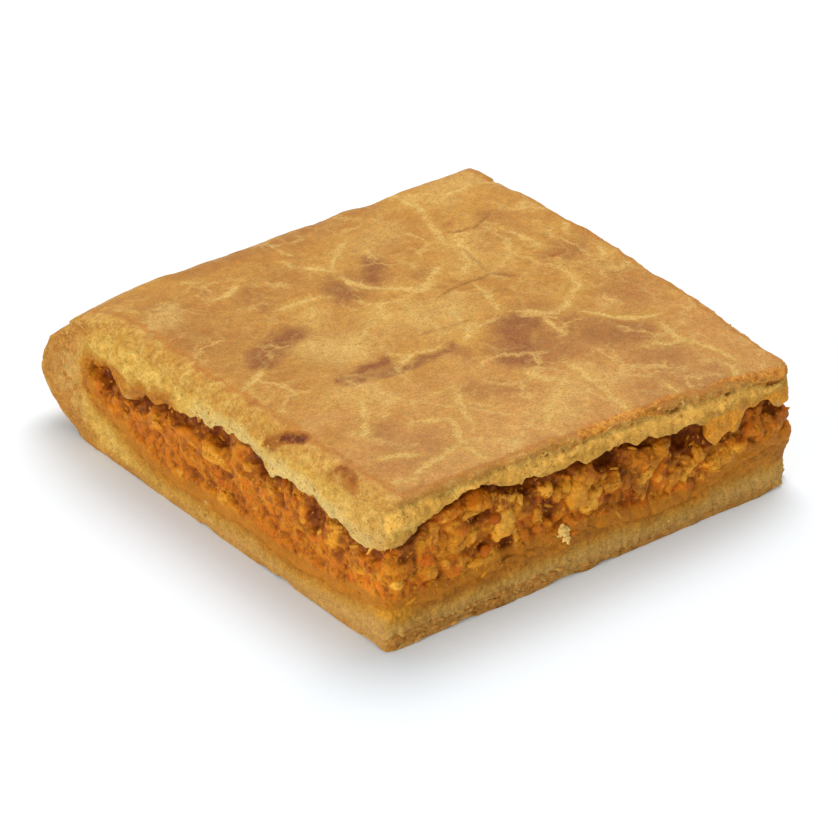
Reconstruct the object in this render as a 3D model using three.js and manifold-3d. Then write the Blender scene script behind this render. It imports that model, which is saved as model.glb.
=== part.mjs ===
// A square portion of an empanada, a savoury pie baked in a tray: two sheets of bread pastry
// with a moist filling of flaked fish, onion and tomato between them. Along the back the sheets
// are sealed in a rolled rim, where the lower sheet folds up over the lid. The other three sides
// are knife cuts, so the crust is one solid that wraps the filling like a C, and the filling
// shows at every cut, with its flakes and dice standing proud of the cut face.
//
// Millimetres, +Z up. X runs along the rolled rim, +Y points from the front cut to the rim, and
// the origin is on the table under the middle of the portion.

import * as THREE from 'three';
import { mergeVertices } from 'three/addons/utils/BufferGeometryUtils.js';
import Module from 'manifold-3d';

const wasm = await Module();
wasm.setup();

// Driving dimensions. Until the last step, x and y are measured from the middle of the cut square.
const cutLeft = -50;
const cutRight = 51.3;
const cutFront = -50;
const lidHeight = 31; // top of the lid above the table
const lidThickness = 5.6;
const baseThickness = 8.3;
const rimReach = 65; // y of the outermost point of the rolled rim
const rimStart = 40; // y where the lid starts to fall towards the rim
const rimFoot = 47; // y where the underside leaves the table
const fillingEnd = 48.2; // y of the inner end of the filling, inside the rim
const cornerRadius = 3; // the front left corner, seen from above
const gap = 0.3; // clearance between the filling and the crust

// Grid of the crust: columns across it, rows from the front edge of a sheet to the rim, rows
// round the rim, and layers through the dough.
const columns = 23;
const sheetRows = 19;
const rimRows = 14;
const crustRows = 2 * sheetRows + rimRows;
const crustLayers = 3;

const { lerp, smoothstep, clamp } = THREE.MathUtils;

// A seeded random number from 0 to 1, so that every build gives the same portion.
function seededRandom(seed) {
  let state = seed;
  return () => {
    state = (state * 1664525 + 1013904223) % 4294967296;
    return state / 4294967296;
  };
}

// A smooth hill of height 1 and the given radius, centred on (cx, cy).
function hill(x, y, cx, cy, radius) {
  return Math.exp(-((x - cx) ** 2 + (y - cy) ** 2) / radius ** 2);
}

// How far a surface falls near an edge: `drop` on the edge itself, nothing beyond `width` from it.
function edgeFall(distance, width, drop) {
  return drop * clamp(1 - distance / width, 0, 1) ** 2;
}

// Uneven relief, from -1 to 1, whose bumps are about `size` long.
function crag(a, b, size) {
  const u = (a * 3.1) / size;
  const v = (b * 3.1) / size;
  return 0.5 * Math.sin(u + 1.7 * Math.sin(v * 0.7)) + 0.5 * Math.sin(v * 1.3 - 1.4 * Math.sin(u * 0.8 + 2));
}

// A height read off an edge that is given as [place along it, height] pairs.
function profile(pairs, place) {
  const next = pairs.findIndex(([at]) => at > place);
  if (next === 0) return pairs[0][1];
  if (next < 0) return pairs[pairs.length - 1][1];
  const [from, startHeight] = pairs[next - 1];
  const [to, endHeight] = pairs[next];
  return lerp(startHeight, endHeight, smoothstep(place, from, to));
}

// Where the dough meets the filling along the left cut [y, z] and the front cut [x, z]: the lid
// hangs at the front corner and is thick where juices soaked it; the base swells at the corners.
const lidEdge = {
  left: [[-50, 22.6], [-46, 19.6], [-40, 20.5], [-35, 22], [-25, 23], [-17, 23.6], [-8, 24.8], [0, 25.3],
    [9, 23.5], [20, 21.5], [26, 20.3], [33, 18.6], [40, 20.9]],
  front: [[-50, 22.6], [-45, 23.4], [-40, 26.3], [-36, 27.6], [-28, 28], [-25, 27.5], [-19, 26], [-15, 24.7],
    [8, 24.7], [15, 23.4], [24, 22.2], [43, 21.6], [50, 19.9]],
};
const baseEdge = {
  left: [[-50, 9.6], [-47, 9.9], [-41, 8.7], [-29, 6.8], [-20, 5.8], [-5, 6.9], [4, 6.2], [17, 5.8], [27, 6],
    [35, 8], [42, 10.4]],
  front: [[-50, 9.6], [-30, 9.4], [-10, 10.2], [5, 9], [13, 7], [25, 6.8], [32, 9], [40, 10.6], [50, 11.8]],
};

// A height inside the portion, drawn to the measured edges near the left and front cuts.
function drawnToEdges(x, y, inner, edge) {
  const left = hill(x, 0, cutLeft, 0, 8);
  const front = hill(y, 0, cutFront, 0, 7);
  const share = left ** 3 / (left ** 3 + front ** 3 + 1e-9);
  return lerp(inner, lerp(profile(edge.front, x), profile(edge.left, y), share), Math.max(left, front));
}

// Top of the lid: gently swollen, lower at the front right corner, rounded down at the cuts.
function lidTop(x, y) {
  const swell = 0.4 * Math.sin(x / 7.5 + y / 19) + 0.3 * Math.sin(y / 8 - x / 23 + 1);
  const frontLeftRise = 1.9 * hill(x, y, -46, -46, 22);
  const frontRightDrop = 3.7 * smoothstep(x, 0, 54) * smoothstep(-y, 0, 50);
  const cuts = Math.max(
    edgeFall(x - cutLeft, 5, 1.5), edgeFall(cutRight - x, 2.5, 0.5), edgeFall(y - cutFront, 4, 1.1));
  return lidHeight + swell + frontLeftRise - frontRightDrop - cuts;
}

function lidUnder(x, y) {
  const inner = lidTop(clamp(x, cutLeft + 5, cutRight - 3), Math.max(y, cutFront + 4)) - lidThickness;
  return drawnToEdges(x, y, inner, lidEdge);
}

// Top of the base sheet, under the filling.
function baseTop(x, y) {
  const wave = 0.8 * Math.sin(x / 11 + 0.4) * Math.cos(y / 13);
  const towardsRim = 1.6 * smoothstep(y, 20, rimStart);
  return drawnToEdges(x, y, baseThickness + wave + towardsRim, baseEdge);
}

// Underside of the base: flat on the table, just lifted along the cuts and at the right corner.
function baseUnder(x, y) {
  const cuts = edgeFall(x - cutLeft, 2.5, 0.6) + edgeFall(cutRight - x, 3, 0.9) + edgeFall(y - cutFront, 2.5, 0.6);
  const corner = edgeFall(Math.hypot(cutRight - x, y - cutFront), 9, 1.8);
  return cuts + corner;
}

// Outside of the rim in the plane of one column, from the lid over the roll to the table.
function rimOutside(x) {
  const endDroop = 1 - smoothstep(x, -50, -30); // the roll is pulled down at its left end
  const pinch = 0.7 * Math.cos((x + 6) / 2.1) * smoothstep(x, -46, -36); // pressed by the fingers
  const points = [
    [rimStart, lidTop(x, rimStart)],
    [46, lidTop(x, 44) - 0.4 - endDroop],
    [51.6, 29.7 + 0.5 * hill(x, 0, 34, 0, 16) - 2.4 * endDroop],
    [54.6, 27.4 - 1.5 * endDroop],
    [55.8, 23.1],
    [59.6, 21.7 + pinch],
    [63.4, 17.4 + 0.6 * pinch],
    [rimReach, 12],
    [63.6, 7.4],
    [59.5, 4.1],
    [54, 1.5],
    [rimFoot, 0],
  ];
  return new THREE.CatmullRomCurve3(points.map(([y, z]) => new THREE.Vector3(x, y, z)), false, 'centripetal');
}

// Inner end of the hollow that holds the filling, in the plane of one column.
function rimInside(x) {
  const points = [
    [rimStart, lidUnder(x, rimStart)],
    [45, lerp(lidUnder(x, rimStart), 19.5, 0.35)],
    [fillingEnd, 17.4],
    [47.2, 13.4],
    [44.2, 11.2],
    [rimStart, baseTop(x, rimStart)],
  ];
  return new THREE.CatmullRomCurve3(points.map(([y, z]) => new THREE.Vector3(x, y, z)), false, 'centripetal');
}

// Turns the two square front corners into round ones; the right one is sharp in the base.
function roundCorners(point) {
  const radius = point.x < 0 ? cornerRadius : lerp(1.5, 4, smoothstep(point.z, 12, 26));
  const cy = cutFront + radius;
  const cx = point.x < 0 ? cutLeft + radius : cutRight - radius;
  const dx = point.x - cx;
  const dy = point.y - cy;
  if (dx * Math.sign(point.x) > 0 && dy < 0) {
    const squeeze = Math.max(Math.abs(dx), Math.abs(dy)) / Math.hypot(dx, dy);
    point.x = cx + dx * squeeze;
    point.y = cy + dy * squeeze;
  }
  return point;
}

// The right cut leans inwards towards the top.
function leanRightCut(point, across) {
  point.x += smoothstep(across, 0.5, 1) * (0.9 - 0.045 * point.z);
  return point;
}

// The knife's torn cuts: moves points that lie on a cut in or out, most in the soft middle of
// the dough. `level` says where in the dough's thickness the point is.
function tearCuts(point, across, onFront, level, grow) {
  const rough = level > 0 && level < 1 ? 0.55 : 0.3;
  if (across === 0) point.x += rough * crag(point.y, 9 * level, 4.5) - grow;
  if (across === 1) point.x += rough * crag(point.y + 30, 9 * level, 4.5) + grow;
  if (onFront) point.y += rough * crag(point.x, 9 * level + 5, 4.5) - grow;
  return point;
}

// Where a column and a row of a sheet lie: closer together near the cuts.
function columnX(across) {
  return lerp(cutLeft, cutRight, across - (0.35 * Math.sin(2 * Math.PI * across)) / (2 * Math.PI));
}

function rowY(share, end) {
  return lerp(cutFront, end, share ** 1.35);
}

// A point of the crust. `across` runs over the columns, `row` from the lid's front edge round the
// rim and back along the base, and `depth` goes from the outer skin (0) to the inner skin (1).
// `grow` thickens the crust towards the filling and out of the cuts.
function crustPoint(across, row, depth, grow) {
  const x = columnX(across);
  const outer = new THREE.Vector3();
  const inner = new THREE.Vector3();
  if (row <= sheetRows) {
    const y = rowY(row / sheetRows, rimStart);
    outer.set(x, y, lidTop(x, y));
    inner.set(x, y, lidUnder(x, y));
  } else if (row <= sheetRows + rimRows) {
    const t = (row - sheetRows) / rimRows;
    rimOutside(x).getPoint(t, outer);
    rimInside(x).getPoint(t, inner);
  } else {
    const outerY = rowY((crustRows - row) / sheetRows, rimFoot);
    const innerY = rowY((crustRows - row) / sheetRows, rimStart);
    outer.set(x, outerY, baseUnder(x, outerY));
    inner.set(x, innerY, baseTop(x, innerY));
  }
  const point = outer.lerp(inner, depth * (1 + grow / outer.distanceTo(inner)));
  leanRightCut(roundCorners(point), across);
  return tearCuts(point, across, row === 0 || row === crustRows, depth, grow);
}

// A closed three.js geometry as a solid that can be joined and cut.
function toSolid(geometry) {
  geometry.deleteAttribute('normal');
  geometry.deleteAttribute('uv');
  const merged = mergeVertices(geometry, 1e-4);
  const vertProperties = Float32Array.from(merged.attributes.position.array);
  const triVerts = Uint32Array.from(merged.index.array);
  return new wasm.Manifold(new wasm.Mesh({ numProp: 3, vertProperties, triVerts }));
}

function toGeometry(solid) {
  const mesh = solid.getMesh();
  const geometry = new THREE.BufferGeometry();
  geometry.setAttribute('position', new THREE.BufferAttribute(Float32Array.from(mesh.vertProperties), 3));
  geometry.setIndex(new THREE.BufferAttribute(Uint32Array.from(mesh.triVerts), 1));
  geometry.computeVertexNormals();
  return geometry;
}

function move(geometry, place) {
  const position = geometry.attributes.position;
  const point = new THREE.Vector3();
  for (let i = 0; i < position.count; i += 1) {
    place(point.fromBufferAttribute(position, i));
    position.setXYZ(i, point.x, point.y, point.z);
  }
  return geometry;
}

// A box with a grid on its faces. `place` puts each point where it belongs, from its shares
// (0 to 1) of the box's width, length and height.
function shapedBox(widthSteps, lengthSteps, heightSteps, place) {
  const box = new THREE.BoxGeometry(1, 1, 1, widthSteps, lengthSteps, heightSteps);
  move(box, (point) => {
    const width = Math.round((point.x + 0.5) * widthSteps) / widthSteps;
    const length = Math.round((point.y + 0.5) * lengthSteps) / lengthSteps;
    const height = Math.round((point.z + 0.5) * heightSteps) / heightSteps;
    point.copy(place(width, length, height));
  });
  return toSolid(box);
}

// One uneven lump with few sides, of the given half-sizes.
function lump(center, size, turn, random, grow = 0) {
  const bulges = Array.from({ length: 3 }, () => random() * 6);
  const ball = new THREE.IcosahedronGeometry(1, 1);
  move(ball, (point) => {
    const uneven = 1 + 0.1 * Math.sin(3 * point.x + bulges[0]) + 0.1 * Math.sin(3 * point.y + bulges[1])
      + 0.08 * Math.sin(4 * point.z + bulges[2]);
    point.multiplyScalar(uneven);
    point.multiply(new THREE.Vector3(size[0] + grow, size[1] + grow, size[2] + grow));
    point.applyEuler(new THREE.Euler(turn[0], turn[1], turn[2]));
    point.add(center);
  });
  return toSolid(ball);
}

// Torn bits of dough at the cuts: where they hang from, how far their middle lies under the
// lid's underside, and their half-sizes.
const tornBits = [
  { at: [31, -48.4], hang: 2.4, size: [3.6, 2.4, 4.2] },
  { at: [35.5, -48.6], hang: 0.8, size: [2.2, 1.8, 2.6] },
  { at: [46.5, -48], hang: 0.2, size: [2.6, 2, 1.8] },
  { at: [-48.8, -13.6], hang: 0.9, size: [1.4, 1.8, 1.9] },
  { at: [-48.4, 34], hang: 0.3, size: [1.6, 4.5, 1.6] },
  { at: [47.4, -14], hang: 0.5, size: [1.5, 3, 1.8] },
  { at: [47.2, 22], hang: 0.6, size: [1.6, 2.4, 1.8] },
];

function crustSolid(grow) {
  const random = seededRandom(11);
  const place = (width, length, height) => crustPoint(width, Math.round(length * crustRows), 1 - height, grow);
  let solid = shapedBox(columns, crustRows, crustLayers, place);
  for (const bit of tornBits) {
    const [x, y] = bit.at;
    const center = new THREE.Vector3(x, y, lidUnder(x, y) - bit.hang);
    solid = solid.add(lump(center, bit.size, [0.1, 0.2, 0.3], random, grow));
  }
  return solid;
}

// The way out of the portion at a point on one of its cuts.
function outward(point) {
  const x = clamp(point.x, cutLeft + cornerRadius, cutRight - cornerRadius);
  const y = Math.max(point.y, cutFront + cornerRadius);
  return new THREE.Vector3(point.x - x, point.y - y, 0).normalize();
}

// The cuts as one path that the filling shows along: down the left cut, along the front and up
// the right. `cutPoint` gives the point at a distance along it, `distanceTo` turns a place on one
// of the cuts into that distance.
const sideLength = fillingEnd - 0.8 - cutFront;
const frontLength = cutRight - cutLeft;
const pathLength = 2 * sideLength + frontLength;

function cutPoint(distance, z) {
  const frontRun = clamp(distance - sideLength, 0, frontLength);
  const leftRun = Math.max(sideLength - distance, 0);
  const rightRun = Math.max(distance - sideLength - frontLength, 0);
  const point = new THREE.Vector3(cutLeft + frontRun, cutFront + leftRun + rightRun, z);
  return leanRightCut(roundCorners(point), frontRun / frontLength);
}

function distanceTo(cut, place) {
  if (cut === 'left') return sideLength - (place - cutFront);
  if (cut === 'front') return sideLength + place - cutLeft;
  return sideLength + frontLength + place - cutFront;
}

// Pieces that stand out by their size: the cut, the place along it (x or y), height, half-size,
// and how far the middle is sunk behind the cut.
const largePieces = [
  { cut: 'front', place: -46, z: 14.5, size: 2.8, sunk: 2 },
  { cut: 'front', place: -37, z: 19.4, size: 3.8, sunk: 2.8 },
  { cut: 'front', place: -30.5, z: 15.5, size: 2.9, sunk: 2.2 },
  { cut: 'front', place: -22, z: 18, size: 2.7, sunk: 1.4 },
  { cut: 'front', place: -17.4, z: 17.4, size: 1.7, sunk: 0.8 },
  { cut: 'front', place: -11.5, z: 20.6, size: 2.5, sunk: 2 },
  { cut: 'front', place: -4, z: 17.2, size: 3.3, sunk: 1.9 },
  { cut: 'front', place: 9.5, z: 17.6, size: 3, sunk: 2 },
  { cut: 'front', place: 17.6, z: 17.6, size: 3.8, sunk: 2.8 },
  { cut: 'front', place: 42.5, z: 16, size: 4.2, sunk: 2.8 },
  { cut: 'left', place: 30, z: 15.6, size: 2.4, sunk: 1.6 },
  { cut: 'left', place: 16, z: 17, size: 2.8, sunk: 2 },
  { cut: 'left', place: 4, z: 17.6, size: 2.6, sunk: 1.6 },
  { cut: 'left', place: -16, z: 15.8, size: 2.8, sunk: 2 },
  { cut: 'left', place: -33, z: 17, size: 2.7, sunk: 1.8 },
  { cut: 'right', place: -38, z: 17, size: 3.6, sunk: 2.4 },
  { cut: 'right', place: -8, z: 18.4, size: 3, sunk: 1.8 },
  { cut: 'right', place: 19, z: 15.4, size: 2.6, sunk: 1.6 },
];

// Hollows where the filling has shrunk or a piece has dropped out: the cut, the place along it,
// height, half-length, half-height and depth.
const hollows = [
  { cut: 'front', place: -29.5, z: 27, along: 6, up: 1.9, depth: 4 },
  { cut: 'front', place: -16.5, z: 24.2, along: 3.2, up: 2.2, depth: 4 },
  { cut: 'front', place: 4.6, z: 22.4, along: 2.7, up: 3.2, depth: 4 },
  { cut: 'front', place: 13.4, z: 22.4, along: 2.6, up: 2, depth: 3.5 },
  { cut: 'front', place: 24, z: 19.6, along: 3.2, up: 3.2, depth: 4.2 },
  { cut: 'front', place: -43, z: 23.6, along: 2.6, up: 2.2, depth: 3.5 },
  { cut: 'left', place: 42.5, z: 17, along: 3, up: 2.8, depth: 4 },
  { cut: 'left', place: -25.6, z: 18.6, along: 1.8, up: 2.4, depth: 2.4 },
  { cut: 'left', place: -9, z: 24, along: 3, up: 1.6, depth: 2.5 },
  { cut: 'right', place: 24, z: 22, along: 4, up: 2.2, depth: 3.5 },
  { cut: 'right', place: -18, z: 20, along: 2.8, up: 2.8, depth: 3.5 },
];

// The dice and flakes that the knife has gone through, as domes strewn along the path.
function strewnDomes(random) {
  const domes = [];
  for (let distance = 0; distance <= pathLength; distance += 5.2) {
    for (let z = 7; z <= 28; z += 4.2) {
      domes.push({
        distance: distance + lerp(-1.9, 1.9, random()),
        z: z + lerp(-1.5, 1.5, random()),
        along: lerp(2.8, 4.6, random()),
        up: lerp(2.2, 3.2, random()),
        height: lerp(1.1, 2.9, random()),
      });
    }
  }
  return domes;
}

// How far the filling stands out at a place on the path: over the highest dome, less the hollows.
function cutRelief(domes, distance, z) {
  const heights = domes.map((dome) => {
    const away = ((distance - dome.distance) / dome.along) ** 2 + ((z - dome.z) / dome.up) ** 2;
    return dome.height * Math.sqrt(Math.max(0, 1 - away));
  });
  const depths = hollows.map((hollow) => {
    const aside = distance - distanceTo(hollow.cut, hollow.place);
    return hollow.depth * clamp(1.4 - (aside / hollow.along) ** 2 - ((z - hollow.z) / hollow.up) ** 2, 0, 1);
  });
  return Math.max(...heights) - Math.max(...depths) - 2.4;
}

// The filling's height at (x, y), from its bottom (0) to its top (1), `clearance` from the dough.
function fillingZ(x, y, height, clearance) {
  const closing = clamp((y - 38) / (fillingEnd - 38), 0, 1) ** 3;
  const bottom = lerp(baseTop(x, y), 14.5, closing) + clearance;
  const top = lerp(lidUnder(x, y), 17.5, closing) - clearance;
  return lerp(bottom, top, height);
}

// The outer slab of the filling, along all three cuts, with the relief of its pieces.
function cutSlab(random) {
  const domes = strewnDomes(random);
  const inset = 7;
  return shapedBox(126, 1, 8, (width, length, height) => {
    const distance = width * pathLength;
    const point = cutPoint(distance, 0);
    if (length === 1) {
      point.x = lerp(cutLeft + inset, cutRight - inset, (point.x - cutLeft) / frontLength);
      point.y = lerp(cutFront + inset, fillingEnd - inset, (point.y - cutFront) / sideLength);
    }
    point.z = fillingZ(point.x, point.y, height, 1.6 * gap);
    if (length === 1) return point;
    const onCut = cutPoint(distance, point.z);
    return onCut.addScaledVector(outward(onCut), cutRelief(domes, distance, point.z));
  });
}

// The plain inside of the filling.
function fillingCore() {
  return shapedBox(8, 8, 1, (width, length, height) => {
    const x = lerp(cutLeft + 4, cutRight - 4, width);
    const y = lerp(cutFront + 4, fillingEnd - 3, length);
    return new THREE.Vector3(x, y, fillingZ(x, y, height, 3 * gap));
  });
}

// The body of a solid that is left when loose scraps are dropped.
function largestBody(solid) {
  return solid.decompose().reduce((most, body) => (body.volume() > most.volume() ? body : most));
}

function fillingSolid() {
  const random = seededRandom(5);
  let solid = fillingCore().add(cutSlab(random));
  for (const { cut, place, z, size, sunk } of largePieces) {
    const center = cutPoint(distanceTo(cut, place), z);
    center.addScaledVector(outward(center), -sunk);
    solid = solid.add(lump(center, [size, size, size * 0.9], [0.4, 0.3, 0.6], random));
  }
  return largestBody(solid.subtract(crustSolid(gap)));
}

function part(name, solid, color, roughness) {
  const material = new THREE.MeshStandardMaterial({ color, roughness, metalness: 0 });
  const mesh = new THREE.Mesh(toGeometry(solid), material);
  mesh.name = name;
  return mesh;
}

const empanada = new THREE.Group();
empanada.add(part('crust', crustSolid(0), 0xd9a050, 0.6));
empanada.add(part('filling', fillingSolid(), 0xc4691c, 0.45));

// Puts the origin on the table under the middle of the portion.
const bounds = new THREE.Box3().setFromObject(empanada);
const middle = bounds.getCenter(new THREE.Vector3());
empanada.position.set(-middle.x, -middle.y, -bounds.min.z);
empanada.updateMatrixWorld(true);

export default empanada;
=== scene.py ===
import math
import random
import time
from contextlib import contextmanager
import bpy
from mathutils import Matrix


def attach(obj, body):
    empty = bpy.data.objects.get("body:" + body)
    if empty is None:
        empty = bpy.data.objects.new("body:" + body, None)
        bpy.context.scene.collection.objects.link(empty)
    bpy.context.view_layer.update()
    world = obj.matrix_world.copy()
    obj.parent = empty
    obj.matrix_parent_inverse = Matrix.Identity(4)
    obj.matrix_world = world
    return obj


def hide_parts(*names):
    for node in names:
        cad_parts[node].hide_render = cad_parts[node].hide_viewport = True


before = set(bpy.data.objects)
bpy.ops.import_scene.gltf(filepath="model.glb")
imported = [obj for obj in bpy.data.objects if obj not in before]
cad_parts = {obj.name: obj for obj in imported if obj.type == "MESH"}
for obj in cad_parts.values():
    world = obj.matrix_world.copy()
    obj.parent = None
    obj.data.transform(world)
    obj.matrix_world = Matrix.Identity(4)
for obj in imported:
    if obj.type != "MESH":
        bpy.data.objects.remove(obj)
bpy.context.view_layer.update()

from types import SimpleNamespace

import bmesh
import bpy
import numpy as np
from mathutils import Euler, Matrix, Vector, noise
from mathutils.bvhtree import BVHTree

startTime = time.time()
mm = 0.001

# The square that the three knife cuts leave, in mm. Every place below is measured from its middle,
# X along the rolled rim and Y from the front cut towards the rim.
squareMiddle = np.array([-0.73, -6.64, 0.0])
cutLeft, cutFront, cutRight = -50.0, -50.0, 52.2
rightLean = 0.045  # how much the right cut leans in, for each mm up
rimLine = 44.0  # where the rolled rim starts
lidFoot = 15.0  # halfway up the filling: above is the lid, below is the base


def say(words):
    print(f"{time.time() - startTime:5.1f} s  {words}")


@contextmanager
def editing(obj):
    # the object's mesh as a bmesh, written back at the end
    bm = bmesh.new()
    bm.from_mesh(obj.data)
    bm.verts.ensure_lookup_table()
    yield bm
    bm.to_mesh(obj.data)
    bm.free()


def newObject(name, data):
    obj = bpy.data.objects.new(name, data)
    bpy.context.scene.collection.objects.link(obj)
    return obj


def applyModifiers(obj):
    graph = bpy.context.evaluated_depsgraph_get()
    made = bpy.data.meshes.new_from_object(obj.evaluated_get(graph))
    made.name = obj.name
    obj.modifiers.clear()
    obj.data = made


def readVectors(mesh, name):
    values = np.empty(len(mesh.vertices) * 3, np.float32)
    mesh.vertices.foreach_get(name, values)
    return values.reshape(-1, 3).astype(float)


def readPoints(mesh):
    # vertex places in mm from the middle of the square
    return readVectors(mesh, "co") / mm - squareMiddle


def writePoints(mesh, points):
    places = ((points + squareMiddle) * mm).astype(np.float32)
    mesh.vertices.foreach_set("co", places.ravel())
    mesh.update()


def paint(mesh, name, values):
    # one number per vertex, which a material reads by name
    layer = mesh.attributes.new(name, "FLOAT", "POINT")
    layer.data.foreach_set("value", np.asarray(values, np.float32))


def smoothShade(mesh):
    mesh.polygons.foreach_set("use_smooth", [True] * len(mesh.polygons))


def evenCopy(nodeName, name, voxel):
    # a CAD solid again, as even faces of one size
    obj = newObject(name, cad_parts[nodeName].data.copy())
    obj.data.materials.clear()
    with editing(obj) as bm:
        bmesh.ops.remove_doubles(bm, verts=bm.verts, dist=0.02 * mm)
    remesh(obj, voxel)
    return obj


def remesh(obj, voxel):
    even = obj.modifiers.new("even", "REMESH")
    even.mode = "VOXEL"
    even.voxel_size = voxel * mm
    applyModifiers(obj)


def smoothOnce(bm, verts):
    bmesh.ops.smooth_vert(bm, verts=verts, factor=0.5, use_axis_x=True, use_axis_y=True, use_axis_z=True)


def soften(obj, rounds, chosen=None):
    with editing(obj) as bm:
        verts = [v for v in bm.verts if chosen is None or chosen[v.index]]
        for _ in range(rounds):
            smoothOnce(bm, verts)


def refine(obj, chosen):
    # splits the edges between chosen vertices, and softens what they touch once
    with editing(obj) as bm:
        edges = [e for e in bm.edges if chosen[e.verts[0].index] and chosen[e.verts[1].index]]
        bmesh.ops.subdivide_edges(bm, edges=edges, cuts=1, use_grid_fill=True)
        smoothOnce(bm, list({v for e in edges if e.is_valid for v in e.verts}))


def thinHidden(obj, hidden, keep):
    # few faces where nothing is seen
    group = obj.vertex_groups.new(name="hidden")
    group.add([int(i) for i in np.nonzero(hidden)[0]], 1.0, "REPLACE")
    decimate = obj.modifiers.new("thin", "DECIMATE")
    decimate.vertex_group = "hidden"
    decimate.ratio = 1 - (1 - keep) * hidden.mean()
    applyModifiers(obj)
    obj.vertex_groups.clear()


def triangles(obj):
    return sum(len(p.vertices) - 2 for p in obj.data.polygons)


def treeOf(points, faces):
    return BVHTree.FromPolygons([Vector(p) for p in points], faces)


def facesOf(mesh):
    return [tuple(p.vertices) for p in mesh.polygons]


def farFrom(tree, points):
    return np.array([tree.find_nearest(Vector(p))[3] for p in points])


def ramp(low, high, values):
    # 0 at low and 1 at high, with a soft start and end
    t = np.clip((np.asarray(values) - low) / (high - low), 0, 1)
    return t * t * (3 - 2 * t)


def clouds(points, size, octaves=3, seed=0, stretch=(1, 1, 1)):
    # soft noise, about -1 to 1; its size is in mm, as in all that follows
    away = Vector((17.3, 9.1, 5.7)) * seed
    scaled = points / (np.array(stretch) * size)
    return 1.6 * np.array([noise.fractal(Vector(p) + away, 1.0, 2.0, octaves) for p in scaled])


def grains(points, size, seed):
    # grains packed side by side: the height on each, 0 to 1, and a number 0 to 1 for each grain
    away = Vector((11.9, 23.3, 3.1)) * seed
    heights = np.empty(len(points))
    numbers = np.empty(len(points))
    for i, p in enumerate(points / size):
        distances, centres = noise.voronoi(Vector(p) + away)
        heights[i] = distances[1] - distances[0]
        numbers[i] = noise.cell(centres[0] * 37.0)
    return np.sqrt(np.clip(heights * 1.7, 0, 1)), numbers * 0.5 + 0.5


def pits(points, size, share, radius, seed):
    # round hollows, 1 at their bottom, in a share of the cells
    away = Vector((7.7, 31.1, 13.9)) * seed
    depths = np.zeros(len(points))
    for i, p in enumerate(points / size):
        distances, centres = noise.voronoi(Vector(p) + away)
        number = noise.cell(centres[0] * 53.0) * 0.5 + 0.5
        if number < share:
            wide = radius * (0.5 + 0.8 * number / share)
            depths[i] = max(0.0, 1 - distances[0] / wide)
    return depths


def billows(points, size, seed):
    # round lumps with narrow valleys, about 0 to 1
    away = Vector((5.3, 19.7, 8.9)) * seed
    return 2.6 * np.sqrt(np.array([noise.noise(Vector(p) + away) for p in points / size]) ** 2 + 0.0009)


def awayFromLine(points, line, taper=0.0):
    # distance seen from above to a line through the given places, counted longer towards its ends
    lengths = [math.dist(start, end) for start, end in zip(line, line[1:])]
    best = np.full(len(points), 1e9)
    done = 0.0
    for start, end, length in zip(line, line[1:], lengths):
        along = np.subtract(end, start)
        offset = points[:, :2] - start
        share = np.clip(offset @ along / max(along @ along, 1e-9), 0, 1)
        away = np.hypot(*(offset - share[:, None] * along).T)
        position = (done + share * length) / max(sum(lengths), 1e-9)
        away = away + taper * ramp(0.22, 0.0, np.minimum(position, 1 - position))
        best = np.minimum(best, away)
        done += length
    return best


def strengthAt(points, places, reach=1.7):
    # how strongly the given places show, out to this share of their half width
    best = np.zeros(len(points))
    for line, radius, strength in places:
        best = np.maximum(best, strength * ramp(reach, 0.2, awayFromLine(points, line) / radius))
    return best


def leftGap(points):
    return points[:, 0] - cutLeft


def frontGap(points):
    return points[:, 1] - cutFront


def rightGap(points):
    return cutRight - rightLean * points[:, 2] - points[:, 0]


def cutGap(points):
    return np.minimum(np.minimum(leftGap(points), frontGap(points)), rightGap(points))


def outwards(points):
    # the way out of the nearest knife cut, turning smoothly round the corners
    gaps = np.stack([leftGap(points), frontGap(points), rightGap(points)], -1)
    weights = np.exp(-(gaps - gaps.min(axis=1)[:, None]) / 1.2)
    ways = weights @ np.array([[-1.0, 0, 0], [0, -1.0, 0], [1.0, 0, 0]])
    return ways / np.linalg.norm(ways, axis=1)[:, None]


crustMesh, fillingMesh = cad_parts["crust"].data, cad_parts["filling"].data
crustPoints, crustFaces = readPoints(crustMesh), facesOf(crustMesh)
crustTree = treeOf(crustPoints, crustFaces)
fillingTree = treeOf(readPoints(fillingMesh), facesOf(fillingMesh))


def bakedSkin():
    # the outside of the dough, without the knife cuts and the hollow for the filling
    corners = crustPoints[np.array(crustFaces)]
    centres = corners.mean(axis=1)
    across = np.cross(corners[:, 1] - corners[:, 0], corners[:, 2] - corners[:, 0])
    ways = across / np.maximum(np.linalg.norm(across, axis=1), 1e-9)[:, None]
    atCut = (cutGap(centres) < 3) & ((np.abs(ways[:, 0]) > 0.6) | (ways[:, 1] < -0.6))
    kept = []
    for i in np.nonzero(~atCut)[0]:
        start, way = Vector(centres[i] + ways[i] * 0.05), Vector(ways[i])
        if crustTree.ray_cast(start, way)[0] is None and fillingTree.ray_cast(start, way)[0] is None:
            kept.append(crustFaces[i])
    return treeOf(crustPoints, kept)


skinTree = bakedSkin()


def depthUnderTop(points):
    # how far below the top of the lid or rim, straight down
    high = np.empty(len(points))
    for i, p in enumerate(points):
        x = min(max(p[0], cutLeft + 0.7), cutRight - 2.6)
        y = max(p[1], cutFront + 0.7)
        hit = crustTree.ray_cast(Vector((x, y, 60)), Vector((0, 0, -1)))[0]
        high[i] = hit.z if hit else p[2]
    return high - points[:, 2]


say("search trees")

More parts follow.
